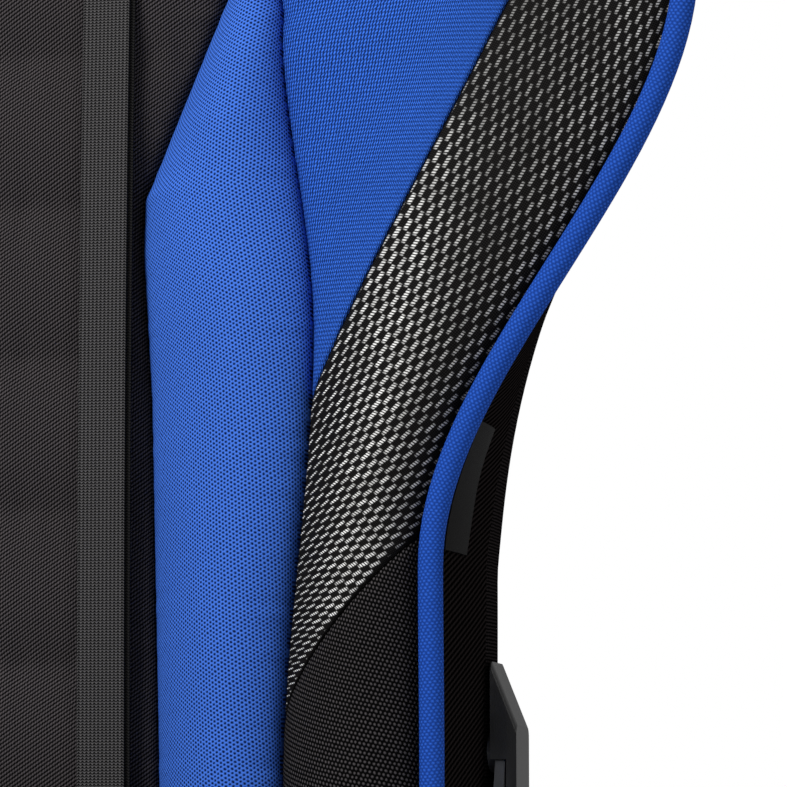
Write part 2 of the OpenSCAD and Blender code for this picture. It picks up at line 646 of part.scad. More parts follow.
// Bevelled plastic shell over the back arm: a round hub, and an upper end whose top slopes in to the side panel
module hinge_cover_upper(left) {
    x0 = waist_half + 9;
    color("#2b2c2f") leaned() side(left) difference() {
        union() {
            hull() {
                plate(x0, cover_out - bevel) circle(hub_r);
                plate(x0, cover_out) circle(hub_r - bevel);
                plate(x0, tip_out - 5) translate(body_end) circle(body_end_r);
                plate(x0, tip_out) translate(body_end) circle(body_end_r - 4);
            }
            hull() {
                plate(x0, x0 + 0.5) tip_section(tip_top);
                plate(x0, tip_out) tip_section(tip_shoulder);
            }
        }
        plate(x0 - 1, arm_out + 0.6) offset(delta = 1.2) arm_shape(false);
        pin(x0 - 1, cover_x + 0.2, 0, 0, hub_r + hub_gap);
        pin(x0 - 1, arm_out + 5.6, 0, 0, pivot_head_r + 1);
        for (h = boss_h) pin(x0 - 1, arm_out + bolt_head_t + 0.5, tube_y, h, bolt_head_r + 1);
        for (p = upper_screws) {
            pin(x0, cover_out + 1, p[0], p[1], screw_r + bolt_gap);
            pin(tip_out - screw_head_t, cover_out + 1, p[0], p[1], screw_head_r + 0.3);
        }
    }
}
module cover_screws_upper() {
    color("#1b1b1c") leaned() for (s = [false, true]) side(s) for (p = upper_screws) {
        pin(arm_x, tip_out - screw_head_t, p[0], p[1], screw_r);
        pin(tip_out - screw_head_t, tip_out - 0.4, p[0], p[1], screw_head_r);
    }
}
// Bevelled plastic shell over the seat bracket, cut concave round the hub of the upper cover
module lower_shape(inset) {
    offset(delta = -inset) hull() {
        translate([-56, -22]) circle(20);
        translate([-78, -100]) circle(22);
        translate([20, -96]) circle(22);
        translate([24, -70]) circle(14);
    }
}
module hinge_cover_lower(left) {
    x0 = bracket_x + plate_t + 0.3;
    color("#2b2c2f") hinged() side(left) difference() {
        hull() {
            plate(x0, cover_out - bevel) lower_shape(0);
            plate(x0, cover_out - 1) lower_shape(bevel);
        }
        pin(x0 - 1, cover_out + 1, 0, 0, hub_r + hub_gap);
        plate(x0 - 1, arm_out + 1) translate([shaft_y, shaft_z]) circle(20);
        pin(x0 - 1, cover_out + 1, shaft_y, shaft_z, shaft_r + 1);
        for (y = bracket_bolt_y) pin(x0 - 1, x0 + bolt_head_t + 0.6, y, bracket_bolt_z, bolt_head_r + 1);
        for (p = lower_screws) {
            pin(x0 - 1, cover_out + 1, p[0], p[1], screw_r + bolt_gap);
            pin(cover_out - 1 - screw_head_t, cover_out + 1, p[0], p[1], screw_head_r + 0.3);
        }
    }
}
module cover_screws_lower() {
    color("#1b1b1c") hinged() for (s = [false, true]) side(s) for (p = lower_screws) {
        pin(bracket_x, cover_out - 1 - screw_head_t, p[0], p[1], screw_r);
        pin(cover_out - 1 - screw_head_t, cover_out - 1.4, p[0], p[1], screw_head_r);
    }
}

// ---- recline lever, on the occupant's right ----
lever_x = cover_out + 3;
pawl_gap = 0.8;
pawl_half = 3;
shaft_reach = norm([shaft_y, shaft_z]);
pawl_angle = atan2(-shaft_z, -shaft_y);
module lever_shaft() {
    color("#8d9096") hinged() side(false) union() {
        pin(collar_x - 2.2, lever_x + 4, shaft_y, shaft_z, shaft_r);
        pin(collar_x - 2.2, collar_x, shaft_y, shaft_z, shaft_r + 3);
        plate(arm_x, arm_out) translate([shaft_y, shaft_z]) rotate(pawl_angle) difference() {
            hull() {
                circle(9);
                translate([shaft_reach - sector_r - pawl_gap - 6, -pawl_half]) square([7, 2 * pawl_half]);
            }
            translate([shaft_reach, 0]) circle(sector_r + pawl_gap);
        }
    }
}
spring_turns = 4;
spring_wire = 1;
spring_pitch = 1.45;
collar_x = bracket_x - spring_turns * spring_pitch - 1.6;
lever_length = 105;
lever_droop = 8;
module lever_arm() {
    color("#26272a") hinged() side(false) difference() {
        hull() {
            pin(lever_x, lever_x + 8, shaft_y, shaft_z, 13);
            pin(lever_x + 1, lever_x + 7, shaft_y - lever_length * 0.55, shaft_z + lever_droop, 8);
        }
        pin(lever_x - 1, lever_x + 4.1, shaft_y, shaft_z, shaft_r + bolt_gap);
    }
}
module lever_grip() {
    color("#1b1c1e") hinged() side(false) translate([lever_x + 4, shaft_y, shaft_z]) {
        d = [0, -lever_length * 0.55, lever_droop];
        translate(d) rotate([90, 0, 0]) translate([0, 0, 8.4]) {
            cylinder(r1 = 7, r2 = 9, h = 12);
            translate([0, 0, 12]) cylinder(r = 9, h = lever_length * 0.45);
            translate([0, 0, 12 + lever_length * 0.45]) sphere(9);
        }
    }
}
module lever_spring() {
    steps = 8 * spring_turns;
    path = [for (i = [0:steps])
        let (a = 45 * i)
        [collar_x + 0.6 + spring_pitch * i / 8, shaft_y + 6.4 * cos(a), shaft_z + 6.4 * sin(a)]];
    color("#b0b3b8") hinged() side(false) rings(cord(path, spring_wire / 2, 6));
}

// ---- seat base ----
seat_rear = pivot_y - 76;
foam_z = frame_top + band_t + 0.4;
pad_z = foam_z + foam_h + lay_gap;
front_corner = 70;
// Half width of the seat at a distance s forward of its rear edge
function seat_width(s) =
    let (w = eased_at(s, [[150, seat_rear_half], [290, seat_half]]), c = s - (seat_length - front_corner))
    c <= 0 ? w : w - front_corner + sqrt(max(0, pow(front_corner, 2) - c * c));
seat_steps = concat([for (i = [0:14]) i / 14 * (seat_length - front_corner)],
    [for (i = [1:6]) seat_length - front_corner + front_corner * sin(15 * i)]);
seat_side = [for (s = seat_steps) [seat_width(s), seat_rear - s]];
module seat_plan() {
    polygon(concat([for (p = seat_side) p], [for (i = [len(seat_side) - 1:-1:0]) [-seat_side[i][0], seat_side[i][1]]]));
}
rail_w = 40;
rail_wall = 3;
rail_half = 195;
module base_rail(left) {
    color("#3c3f44") side(left) difference() {
        translate([rail_x - rail_w / 2, -rail_half, 0]) cube([rail_w, 2 * rail_half, rail_h]);
        translate([rail_x - rail_w / 2 + rail_wall, -rail_half - 1, rail_wall])
            cube([rail_w - 2 * rail_wall, 2 * rail_half + 2, rail_h - 2 * rail_wall]);
        for (s = [-1, 1]) translate([rail_x, s * hole_dy / 2, -1]) cylinder(r = hole_r, h = rail_wall + 2);
        for (y = rail_bolt_y, dx = [-1, 1]) translate([rail_x + dx * rail_bolt_x, y, rail_h - rail_wall - 1])
            cylinder(r = rail_bolt_r + bolt_gap, h = rail_wall + 2);
    }
}
rail_bolt_y = [-120, 0, 120];
rail_bolt_x = 9;
rail_bolt_r = 3;
rail_bolt_head = 6;
module rail_bolts() {
    color("#8d9096") for (s = [-1, 1], y = rail_bolt_y, dx = [-1, 1])
        translate([s * rail_x + dx * rail_bolt_x, y, rail_h - rail_wall - rail_bolt_head]) {
            cylinder(r = rail_bolt_r, h = rail_bolt_head + rail_wall + seat_tube - 4);
            cylinder(r = 5.5, h = rail_bolt_head, $fn = 6);
        }
}
module seat_frame() {
    t = seat_tube;
    color("#2b2d31") difference() {
        union() {
            difference() {
                translate([-frame_half, frame_front, frame_z]) cube([2 * frame_half, frame_rear - frame_front, t]);
                translate([-frame_half + side_bar, frame_front + t, frame_z - 1])
                    cube([2 * (frame_half - side_bar), frame_rear - frame_front - 2 * t, t + 2]);
            }
            for (s = [false, true], y = bracket_bolt_y) side(s)
                pin(frame_half - 1, bracket_x, y + pivot_y, bracket_bolt_z + pivot_z, 9);
        }
        for (s = [false, true]) side(s) {
            for (y = bracket_bolt_y) pin(bracket_x - 24, bracket_x + 1, y + pivot_y, bracket_bolt_z + pivot_z, arm_bolt_r + bolt_gap);
            for (y = rail_bolt_y, dx = [-1, 1]) translate([rail_x + dx * rail_bolt_x, y, frame_z - 1])
                cylinder(r = rail_bolt_r + bolt_gap, h = seat_tube - 2);
        }
    }
}
seat_bands = 6;
seat_band_w = 46;
side_bar = 40;       // width of the frame's side bars
module seat_webbing() {
    first = frame_front + seat_tube + 2;
    final = frame_rear - seat_band_w - seat_tube - 14;
    color("#3a3a3a") for (i = [0:seat_bands - 1])
        translate([-frame_half + side_bar / 2, lerp(first, final, i / (seat_bands - 1)), frame_top])
            cube([2 * frame_half - side_bar, seat_band_w, band_t]);
}
skirt_t = 5;
module seat_foam() {
    color("#e8dca8") translate([0, 0, foam_z]) linear_extrude(foam_h) offset(delta = -skirt_t - lay_gap) seat_plan();
}
skirt_low = foam_z - 0.2;
skirt_high = foam_z + foam_h + 26;
module seat_skirt() {
    color("#151414") translate([0, 0, skirt_low]) linear_extrude(skirt_high - skirt_low) difference() {
        seat_plan();
        offset(delta = -skirt_t) seat_plan();
    }
}
seat_seam = 128;
seat_inset = skirt_t + lay_gap;
module seat_centre_pad() {
    rows = 32;
    cols = 8;
    function top_z(v) = seat_pad_h + 12 * ease(v) - 26 * pow(max(0, (v - 0.86) / 0.14), 2);
    front = [for (i = [0:rows]) [for (j = [0:cols])
        let (v = i / rows, u = 2 * j / cols - 1, s = lerp(seat_inset, seat_length - seat_inset, v))
        [u * (seat_seam - seam_gap), seat_rear - s,
            pad_z + top_z(v) + 8 * pow(hump((v * 8) % 1), 0.5) * (1 - pow(abs(u), 3)) - 4]]];
    rear = [for (i = [0:rows]) [for (j = [0:cols])
        [(2 * j / cols - 1) * (seat_seam - seam_gap), seat_rear - lerp(seat_inset, seat_length - seat_inset, i / rows), pad_z]]];
    color("#232122") mirror([1, 0, 0]) between(front, rear);
}
bolster_inset = seat_inset + 1.2;
module seat_bolster(left) {
    rows = 19;
    cols = 7;
    function place(i) = seat_steps[i] < seat_inset ? seat_inset : min(seat_steps[i], seat_length - bolster_inset);
    // Half width of the seat inside its skirt, round the front corner too
    function outer(s) =
        let (c = s - (seat_length - front_corner), r = front_corner - bolster_inset)
        c <= 0 ? seat_width(s) - bolster_inset : seat_half - front_corner + sqrt(max(0, r * r - c * c));
    function crown(s) = lerp(seat_pad_h + 2, seat_bolster_h, ease(clamp01(s / 130)))
        - 34 * pow(clamp01((s - seat_length + 110) / 110), 2);
    front = [for (i = [0:rows]) [for (j = [0:cols])
        let (s = place(i), t = j / cols, low = lerp(seat_pad_h - 6, 25, t))
        [lerp(seat_seam + seam_gap, outer(s), t), seat_rear - s, pad_z + low + (crown(s) - 20) * pow(hump(t), 0.75) * 0.75]]];
    rear = [for (i = [0:rows]) [for (j = [0:cols])
        let (s = place(i)) [lerp(seat_seam + seam_gap, outer(s), j / cols), seat_rear - s, pad_z]]];
    color("#2f63c4") side(left) turned(front, rear);
}
// As between(), for grids whose columns run the other way
module turned(front, rear) {
    function back_to_front(g) = [for (row = g) [for (j = [len(row) - 1:-1:0]) row[j]]];
    between(back_to_front(front), back_to_front(rear));
}
module seat_piping() {
    side_path = [for (p = seat_side) [p[0], p[1], skirt_high + welt_r - 0.2]];
    path = concat([for (p = side_path) p],
        [for (i = [len(side_path) - 1:-1:0]) [-side_path[i][0], side_path[i][1], side_path[i][2]]]);
    color("#2c5cb8") translate([0, 0, 0.6]) rings(cord(path, welt_r, 8));
}

base_rail(true);  // base_rail_left
base_rail(false);  // base_rail_right
seat_frame();
rail_bolts();
seat_webbing();
seat_foam();
seat_centre_pad();
seat_bolster(true);  // seat_bolster_left
seat_bolster(false);  // seat_bolster_right
seat_skirt();
seat_piping();
hinge_bracket(true);  // hinge_bracket_left
hinge_bracket(false);  // hinge_bracket_right
bracket_bolts();
pivot_bolts();
hinge_cover_lower(true);  // hinge_cover_lower_left
hinge_cover_lower(false);  // hinge_cover_lower_right
cover_screws_lower();
lever_spring();
lever_shaft();
lever_arm();
lever_grip();
back_frame();
head_frame();
back_webbing();
back_core();
back_panel();
panel_screws();
side_panel(true);  // side_panel_left
side_panel(false);  // side_panel_right
centre_pad();
bolster(true);  // bolster_left
bolster(false);  // bolster_right
wing_blue(true);  // wing_blue_left
wing_blue(false);  // wing_blue_right
wing_mesh(true);  // wing_mesh_left
wing_mesh(false);  // wing_mesh_right
wing_lower(true);  // wing_lower_left
wing_lower(false);  // wing_lower_right
back_piping();
head_pad();
neck_pad();
harness_bezel(true);  // harness_bezel_left
harness_bezel(false);  // harness_bezel_right
strap(true);  // strap_left
strap(false);  // strap_right
strap_buckles();
side_label();
back_arm(true);  // back_arm_left
back_arm(false);  // back_arm_right
arm_bolts();
hinge_cover_upper(true);  // hinge_cover_upper_left
hinge_cover_upper(false);  // hinge_cover_upper_right
cover_screws_upper();
lumbar_cushion();
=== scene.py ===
"""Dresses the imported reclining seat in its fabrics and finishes, on the CAD model as a fixed frame.

Backrest lengths are millimetres in the backrest's own upright axes: x to the occupant's left, y to the
rear and h up from the hinge axis. They are leaned back and turned to metres where a mesh is made.
Seat base lengths are millimetres in the row frame.
"""

import math

import bpy
import numpy as np
from mathutils import Matrix, Vector


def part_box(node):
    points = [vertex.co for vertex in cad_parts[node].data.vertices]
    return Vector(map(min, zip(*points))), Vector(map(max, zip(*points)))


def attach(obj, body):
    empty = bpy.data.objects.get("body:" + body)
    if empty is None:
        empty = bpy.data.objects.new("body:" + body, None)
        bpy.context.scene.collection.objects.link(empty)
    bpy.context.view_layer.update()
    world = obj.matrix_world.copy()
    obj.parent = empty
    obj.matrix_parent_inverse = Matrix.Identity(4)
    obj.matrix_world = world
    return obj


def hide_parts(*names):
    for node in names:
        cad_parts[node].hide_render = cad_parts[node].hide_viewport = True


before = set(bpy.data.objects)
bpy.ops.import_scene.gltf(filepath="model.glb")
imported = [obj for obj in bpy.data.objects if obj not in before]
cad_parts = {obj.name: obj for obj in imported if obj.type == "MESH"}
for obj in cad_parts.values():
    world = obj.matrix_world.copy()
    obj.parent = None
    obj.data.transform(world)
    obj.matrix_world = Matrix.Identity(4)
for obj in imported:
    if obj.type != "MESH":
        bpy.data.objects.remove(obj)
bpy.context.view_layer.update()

bl_info = {
    "name": "Reclining seat dressing",
    "version": (1, 0, 0),
    "blender": (4, 5, 0),
    "location": "View3D > Sidebar > Seat",
    "description": "Covers, weaves and finishes for the reclining racing-style seat",
    "category": "Object",
}

MM = 0.001
SHARP = math.radians(50)
LEAN = math.radians(8)
HINGE_Y, HINGE_Z = 235.0, 150.0

# ---- backrest outline and depth, as in the part's source ----
BACK_START, WAIST_H, SHOULDER_H, HEAD_H, BACK_TOP = -20.0, 205.0, 435.0, 690.0, 830.0
WAIST_HALF, SHOULDER_HALF, HEAD_HALF = 202.0, 308.0, 156.0
BEND_X, WING_ANGLE = 190.0, math.radians(27)
BACK_DEPTH, PANEL_T, SIDE_T = 33.0, 4.0, 5.0
EDGE_Y, SEAM_GAP, LAY_GAP = -16.0, 0.3, 0.4
WING_GAP, WING_CLEAR = 0.9, 1.6
MERGE_H, CENTRE_TOP, WING_TOP = 480.0, 612.0, 676.0
CHANNEL_PITCH, CORE_T, MIDLINE_GAP = 63.2, 7.9, 0.15
SLOT_IN, SLOT_OUT, SLOT_LOW, SLOT_HIGH, BEZEL_WALL = 44.0, 122.0, 622.0, 666.0, 3.0
SIDE_KNOTS = ((BACK_START, WAIST_HALF - 2), (WAIST_H, WAIST_HALF), (SHOULDER_H, SHOULDER_HALF),
              (HEAD_H, HEAD_HALF))
FLARE_KNOTS = ((BACK_START, 0), (60, 1), (110, 8), (215, 8), (340, -20), (500, -22), (640, -6), (HEAD_H, -4))
FRONT_KNOTS = ((BACK_START, -46), (100, -56), (WAIST_H, -62), (480, -92), (HEAD_H, -50), (740, -42),
               (BACK_TOP, -30))
VALLEY_KNOTS = ((BACK_START, -36), (120, -46), (300, -50), (413, -40), (480, -24), (560, -18))
SEAM_A_KNOTS = ((BACK_START, 80), (139, 77), (279, 73), (340, 69), (362, 69.5), (372, 74), (MERGE_H, 119),
                (600, 142), (CENTRE_TOP, 143), (WING_TOP, 143))
SEAM_B_KNOTS = ((BACK_START, 130), (120, 136), (300, 149), (430, 133), (MERGE_H, 121))
DIAGONAL_H, DIAGONAL_SLOPE = 272.0, 0.574
LOWER_H, LOWER_RISE = 147.0, 71.0
# Column t, by height, of the middle of the dash mesh's slanting band: a painted highlight, where the knit's
# stretch also fills the dashes out.
DASH_HIGHLIGHT_BAND_KNOTS = ((190, 0.5), (225, 0.58), (281, 0.5), (340, 0.32), (420, 0.16))
TAPE_FROM = 0.79
SIDES = ((1, "left"), (-1, "right"))

# ---- seat base ----
SEAT_REAR, SEAT_LENGTH, SEAT_REAR_HALF, SEAT_HALF = HINGE_Y - 76, 464.0, 203.0, 248.0
FRONT_CORNER, FRAME_TOP, FOAM_H, SKIRT_T = 70.0, 50.0, 47.0, 5.0
FOAM_Z = FRAME_TOP + 2
PAD_Z = FOAM_Z + FOAM_H + LAY_GAP
SKIRT_HIGH = FOAM_Z + FOAM_H + 26
SEAT_SEAM, SEAT_INSET, SEAT_CHANNELS = 128.0, SKIRT_T + LAY_GAP, 8

# ---- webbing on the frames ----
BAND_FRONT, BAND_T, BACK_BAND_W, SEAT_BAND_W = 8.6, 1.6, 38.0, 46.0


# ---- curves ----
def unit(t):
    return np.clip(t, 0, 1)


def ease(t):
    """Smooth step from 0 to 1 as t goes from 0 to 1, and flat outside."""
    t = unit(t)
    return t * t * (3 - 2 * t)


def hump(t):
    return 1 - (2 * t - 1) ** 2


def mix(a, b, t):
    return a + (b - a) * t


def eased(h, knots):
    """Values at h of a list of (h, value) knots, eased from knot to knot."""
    hs, values = np.array(knots, float).T
    i = np.clip(np.searchsorted(hs, h, side="right") - 1, 0, len(hs) - 2)
    return mix(values[i], values[i + 1], ease((h - hs[i]) / (hs[i + 1] - hs[i])))


def linear(h, knots):
    return np.interp(h, *np.array(knots, float).T)


def side_half(h):
    return eased(h, SIDE_KNOTS)


def slant(h):
    """Width across the outline at height h, per unit of its thickness."""
    return np.hypot(1, (side_half(np.minimum(HEAD_H, h + 1)) - side_half(h - 1)) / 2)


def head_width(h, inset):
    """Half width of the head: a cubic superellipse above HEAD_H, moved inwards by inset."""
    high = BACK_TOP - inset - HEAD_H
    return (HEAD_HALF - inset) * np.maximum(0, 1 - (np.maximum(0, h - HEAD_H) / high) ** 3) ** (1 / 3)


def y_mid(x):
    """Depth of the backrest panel's front: level as far as BEND_X, then turned forward by WING_ANGLE."""
    return -np.maximum(0, np.abs(x) - BEND_X) * math.tan(WING_ANGLE)


def y_edge(h):
    return eased(h, FRONT_KNOTS)


def y_valley(h):
    return eased(h, VALLEY_KNOTS)


def y_rear(x):
    return y_mid(x) + BACK_DEPTH + PANEL_T + 0.5


def seam_a(h):
    return linear(h, SEAM_A_KNOTS)


def seam_b(h):
    """Seam between bolster and wing. It meets seam_a, between centre and bolster, at MERGE_H."""
    return np.where(h <= MERGE_H, eased(h, SEAM_B_KNOTS), seam_a(h) + 2)


def inner_x(h, y):
    """Inner face of the side panel at height h and depth y."""
    front, rear = y_edge(h) + 3, y_rear(side_half(h))
    turn = eased(h, FLARE_KNOTS) * unit((y - front) / (rear - front))
    return side_half(h) - (SIDE_T + 1.5 * WING_CLEAR - turn) * slant(h)


def wing_x(h, t):
    """The wing at height h, from its inner seam at t = 0 to the side panel at t = 1."""
    return mix(seam_b(h) + WING_GAP, side_half(h) - (SIDE_T + WING_CLEAR) * slant(h), t)


def diagonal_at(t):
    """Height of the straight seam between shoulder and mesh in column t, by halving an interval."""
    low, high = np.full_like(t, 262.0), np.full_like(t, 560.0)
    for _ in range(16):
        middle = (low + high) / 2
        outside = wing_x(middle, t) > seam_b(DIAGONAL_H) + DIAGONAL_SLOPE * (middle - DIAGONAL_H)
        low, high = np.where(outside, middle, low), np.where(outside, high, middle)
    return (low + high) / 2


def lower_at(t):
    return LOWER_H + LOWER_RISE * t**0.75


def outline():
    """The +x half of the backrest outline as x, h and its normals."""
    h = np.linspace(BACK_START, HEAD_H, 120, endpoint=False)
    a = np.linspace(0, math.pi / 2, 53)
    a[-1] -= 1e-9
    x = np.concatenate([side_half(h), HEAD_HALF * np.cos(a) ** (2 / 3)])
    h = np.concatenate([h, HEAD_H + (BACK_TOP - HEAD_H) * np.sin(a) ** (2 / 3)])
    dx, dh = np.gradient(x), np.gradient(h)
    length = np.hypot(dx, dh)
    return x, h, dh / length, -dx / length


# ---- meshes ----
def grid(rows, columns):
    """Row and column parameters from 0 to 1, as two (rows, columns) arrays."""
    return np.meshgrid(np.linspace(0, 1, rows), np.linspace(0, 1, columns), indexing="ij")


def span(rows, columns):
    """Row parameter from 0 to 1 and column parameter from -1 to 1."""
    v, c = grid(rows, columns)
    return v, 2 * c - 1


def stack(*parts):
    return np.stack(np.broadcast_arrays(*parts), axis=-1)


def leaned(points):
    """Backrest millimetres to metres in the row frame: turned back by the lean about the hinge axis."""
    x, y, h = np.moveaxis(points, -1, 0)
    return MM * stack(x, HINGE_Y + y * math.cos(LEAN) + h * math.sin(LEAN),
                      HINGE_Z - y * math.sin(LEAN) + h * math.cos(LEAN))


def handed(side, *grids):
    """The same grids for the +x side, or mirrored for the -x side with their columns turned round."""
    if side > 0:
        return grids
    flipped = []
    for g in grids:
        g = g[:, ::-1].copy()
        if g.shape[-1] == 3:
            g[..., 0] *= -1
        flipped.append(g)
    return flipped


def quads(rows, columns, first=0, close_columns=False):
    """Quad corners of a grid of points numbered row by row from first."""
    index = first + np.arange(rows * columns).reshape(rows, columns)
    if close_columns:
        index = np.concatenate([index, index[:, :1]], axis=1)
    return np.stack([index[:-1, :-1], index[:-1, 1:], index[1:, 1:], index[1:, :-1]], axis=-1).reshape(-1, 4)


def add_object(name, data):
    made = bpy.data.objects.new(name, data)
    bpy.context.scene.collection.objects.link(made)
    return made


def make_piece(name, node, slot, finish_name, points, faces, uv, body="backrest", fill=None):
    """Mesh object in place of a CAD node, from points and weave coordinates in millimetres, on its body."""
    mesh = bpy.data.meshes.new(name)
    points = points * MM if body == "seat_base" else leaned(points)
    mesh.from_pydata(points.tolist(), [], faces.tolist())
    layer = mesh.uv_layers.new(name="weave")
    layer.data.foreach_set("uv", uv.reshape(-1, 2)[faces.ravel()].astype(np.float32).ravel())
    mesh.shade_smooth()
    mesh.set_sharp_from_angle(angle=SHARP)
    mesh.materials.append(finish_of(finish_name))
    piece = add_object(name, mesh)
    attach(piece, body)
    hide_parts(node)
    return piece


def add_layer(piece, name, values):
    """Another pair of coordinates per point of both grids, as a UV map of that name."""
    mesh = piece.data
    corner = np.empty(len(mesh.loops), np.int32)
    mesh.loops.foreach_get("vertex_index", corner)
    both = np.concatenate([values.reshape(-1, 2)] * 2).astype(np.float32)
    mesh.uv_layers.new(name=name).data.foreach_set("uv", both[corner].ravel())


def closed_skin(front, rear):
    """Points and faces of a closed skin between two grids of equal size, joined round their rim."""
    rows, columns = front.shape[:2]
    count = rows * columns
    index = np.arange(count).reshape(rows, columns)
    rim = np.concatenate([index[0, :-1], index[:-1, -1], index[-1, :0:-1], index[:0:-1, 0]])
    after = np.roll(rim, -1)
    faces = np.concatenate([
        quads(rows, columns),
        quads(rows, columns, count)[:, ::-1],
        np.stack([after, rim, rim + count, after + count], axis=-1),
    ])
    return np.concatenate([front.reshape(-1, 3), rear.reshape(-1, 3)]), faces


def joined(skins):
    """Several closed skins as one set of points and faces."""
    points, faces, first = [], [], 0
    for front, rear in skins:
        p, f = closed_skin(front, rear)
        points.append(p)
        faces.append(f + first)
        first += len(p)
    return np.concatenate(points), np.concatenate(faces)


def flat_rear(x, h):
    return stack(x, -LAY_GAP, h)


def pad(name, node, slot, finish_name, front, rear=None, uv=None, side=1, body="backrest", fill=0.8):
    """Closed cushion between its front and rear grids, in millimetres.

    Unless they are given, the rear lies flat on the backrest's panel and the cloth runs along the front.
    """
    rear = flat_rear(front[..., 0], front[..., 2]) if rear is None else rear
    uv = cloth_uv(front) if uv is None else uv
    front, rear, uv = handed(side, front, rear, uv)
    points, faces = closed_skin(front, rear)
    return make_piece(name, node, slot, finish_name, points, faces, np.concatenate([uv, uv]), body, fill)


def normed(vectors):
    return vectors / np.linalg.norm(vectors, axis=1, keepdims=True)


def along(path):
    """Distance of each point of a path from its start."""
    return np.concatenate([[0], np.cumsum(np.linalg.norm(np.diff(path, axis=0), axis=1))])


def tube(path, radius):
    """Points and faces of a round tube along a path, with its ends closed by the last rings drawn in."""
    tangent = normed(np.gradient(path, axis=0))
    across = normed(np.cross(tangent, (0, 1, 0.01)))
    other = np.cross(tangent, across)
    a = np.linspace(0, 2 * math.pi, 16, endpoint=False)
    ring = np.cos(a)[None, :, None] * across[:, None] + np.sin(a)[None, :, None] * other[:, None]
    radii = np.full(len(path), radius)
    radii[[0, -1]] = 0.01 * radius
    radii[[1, -2]] = 0.75 * radius
    points = path[:, None] + radii[:, None, None] * ring
    uv = stack(along(path)[:, None], (a * radius)[None, :])
    return points.reshape(-1, 3), quads(len(path), len(a), close_columns=True), uv


def away(distance, reach):
    """1 at a seam, falling off with the distance from it."""
    return np.exp(-np.maximum(0, distance) / reach)


def puckers(along, distance, depth, pitch=13.0, reach=9.0):
    """Small folds that a seam draws into the cloth: two waves along it that fade away from it."""
    wave = np.sin(2 * math.pi * along / pitch) + 0.7 * np.sin(2 * math.pi * along / (0.63 * pitch) + 1.3)
    slow = 0.6 + 0.4 * np.sin(2 * math.pi * along / (4.7 * pitch) + 0.8)
    return depth * wave * slow * away(distance, reach)


# ---- shader graphs ----
DRESSED = "dressed_"
BLACK = (0.0, 0.0, 0.0, 1.0)
WEAVE_RELIEF, GRAIN_RELIEF, FOAM_RELIEF = 0.0004, 0.0002, 0.0005


class Value:
    """A socket of a graph. Arithmetic on it adds math nodes."""

    def __init__(self, graph, socket):
        self.graph, self.socket = graph, socket

    def __add__(self, other):
        return self.graph.math("ADD", self, other)

    def __sub__(self, other):
        return self.graph.math("SUBTRACT", self, other)

    def __rsub__(self, other):
        return self.graph.math("SUBTRACT", other, self)

    def __mul__(self, other):
        return self.graph.math("MULTIPLY", self, other)

    def __truediv__(self, other):
        return self.graph.math("DIVIDE", self, other)

    def __abs__(self):
        return self.graph.math("ABSOLUTE", self)


class Graph:
    """Short calls for building a node tree. Any input may be given a number, a socket or a Value."""

    def __init__(self, tree):
        self.tree = tree

    def node(self, kind, *values, named=None, **settings):
        """New shader node with its settings, its first inputs in order and others by name or number."""
        made = self.tree.nodes.new("ShaderNode" + kind)
        for key, value in settings.items():
            setattr(made, key, value)
        for key, value in [*enumerate(values), *(named or {}).items()]:
            self.put(made.inputs[key], value)
        return made

    def put(self, socket, value):
        value = getattr(value, "socket", value)
        if isinstance(value, bpy.types.NodeSocket):
            self.tree.links.new(value, socket)
        else:
            socket.default_value = value

    def math(self, operation, *values):
        return Value(self, self.node("Math", *values, operation=operation).outputs[0])

    def wave(self, turns):
        """Cosine of a phase given in turns."""
        return self.math("COSINE", turns * (2 * math.pi))

    def ranged(self, value, low, high, at_low=0.0, at_high=1.0, kind="LINEAR"):
        made = self.node("MapRange", value, low, high, at_low, at_high, interpolation_type=kind)
        return Value(self, made.outputs[0])

    def step(self, value, low, high):
        """0 below low and 1 above high, smooth between."""
        return self.ranged(value, low, high, kind="SMOOTHSTEP")

    def mix(self, factor, a, b):
        return self.node("Mix", factor, named={6: a, 7: b}, data_type="RGBA").outputs[2]

    def noise(self, vector, scale, detail=2.0, roughness=0.5):
        given = {"Vector": vector, "Scale": scale, "Detail": detail, "Roughness": roughness}
        return Value(self, self.node("TexNoise", named=given).outputs["Fac"])

    def cells(self, vector, scale):
        given = {"Vector": vector, "Scale": scale}
        return Value(self, self.node("TexVoronoi", named=given, feature="SMOOTH_F1").outputs["Distance"])

    def uv(self, name):
        return self.node("UVMap", uv_map=name).outputs["UV"]

    def place(self):
        return self.node("TexCoord").outputs["Object"]

    def split(self, vector):
        return [Value(self, part) for part in self.node("SeparateXYZ", vector).outputs]

    def wobbled(self, vector, scale, shift_x, shift_y):
        """x and y of a vector, shifted by slow noise so that no yarn runs dead straight."""
        x, y, _ = self.split(vector)
        wobble = self.noise(vector, scale)
        return x + wobble * shift_x, y + wobble * shift_y

    def turned(self, x, y, degrees):
        """Distance in the direction at that angle to x."""
        angle = self.math("RADIANS", degrees)
        return x * self.math("COSINE", angle) + y * self.math("SINE", angle)

    def fuzzed(self, total, vector, scale, amount):
        """A sum of waves broken up by the fine noise of fibres."""
        return total + (self.noise(vector, scale, 2.0, 0.7) - 0.5) * amount


def srgb(red, green, blue):
    """Linear colour of an sRGB colour given from 0 to 255."""
    parts = np.array([red, green, blue]) / 255
    return (*np.where(parts <= 0.04045, parts / 12.92, ((parts + 0.055) / 1.055) ** 2.4).tolist(), 1.0)


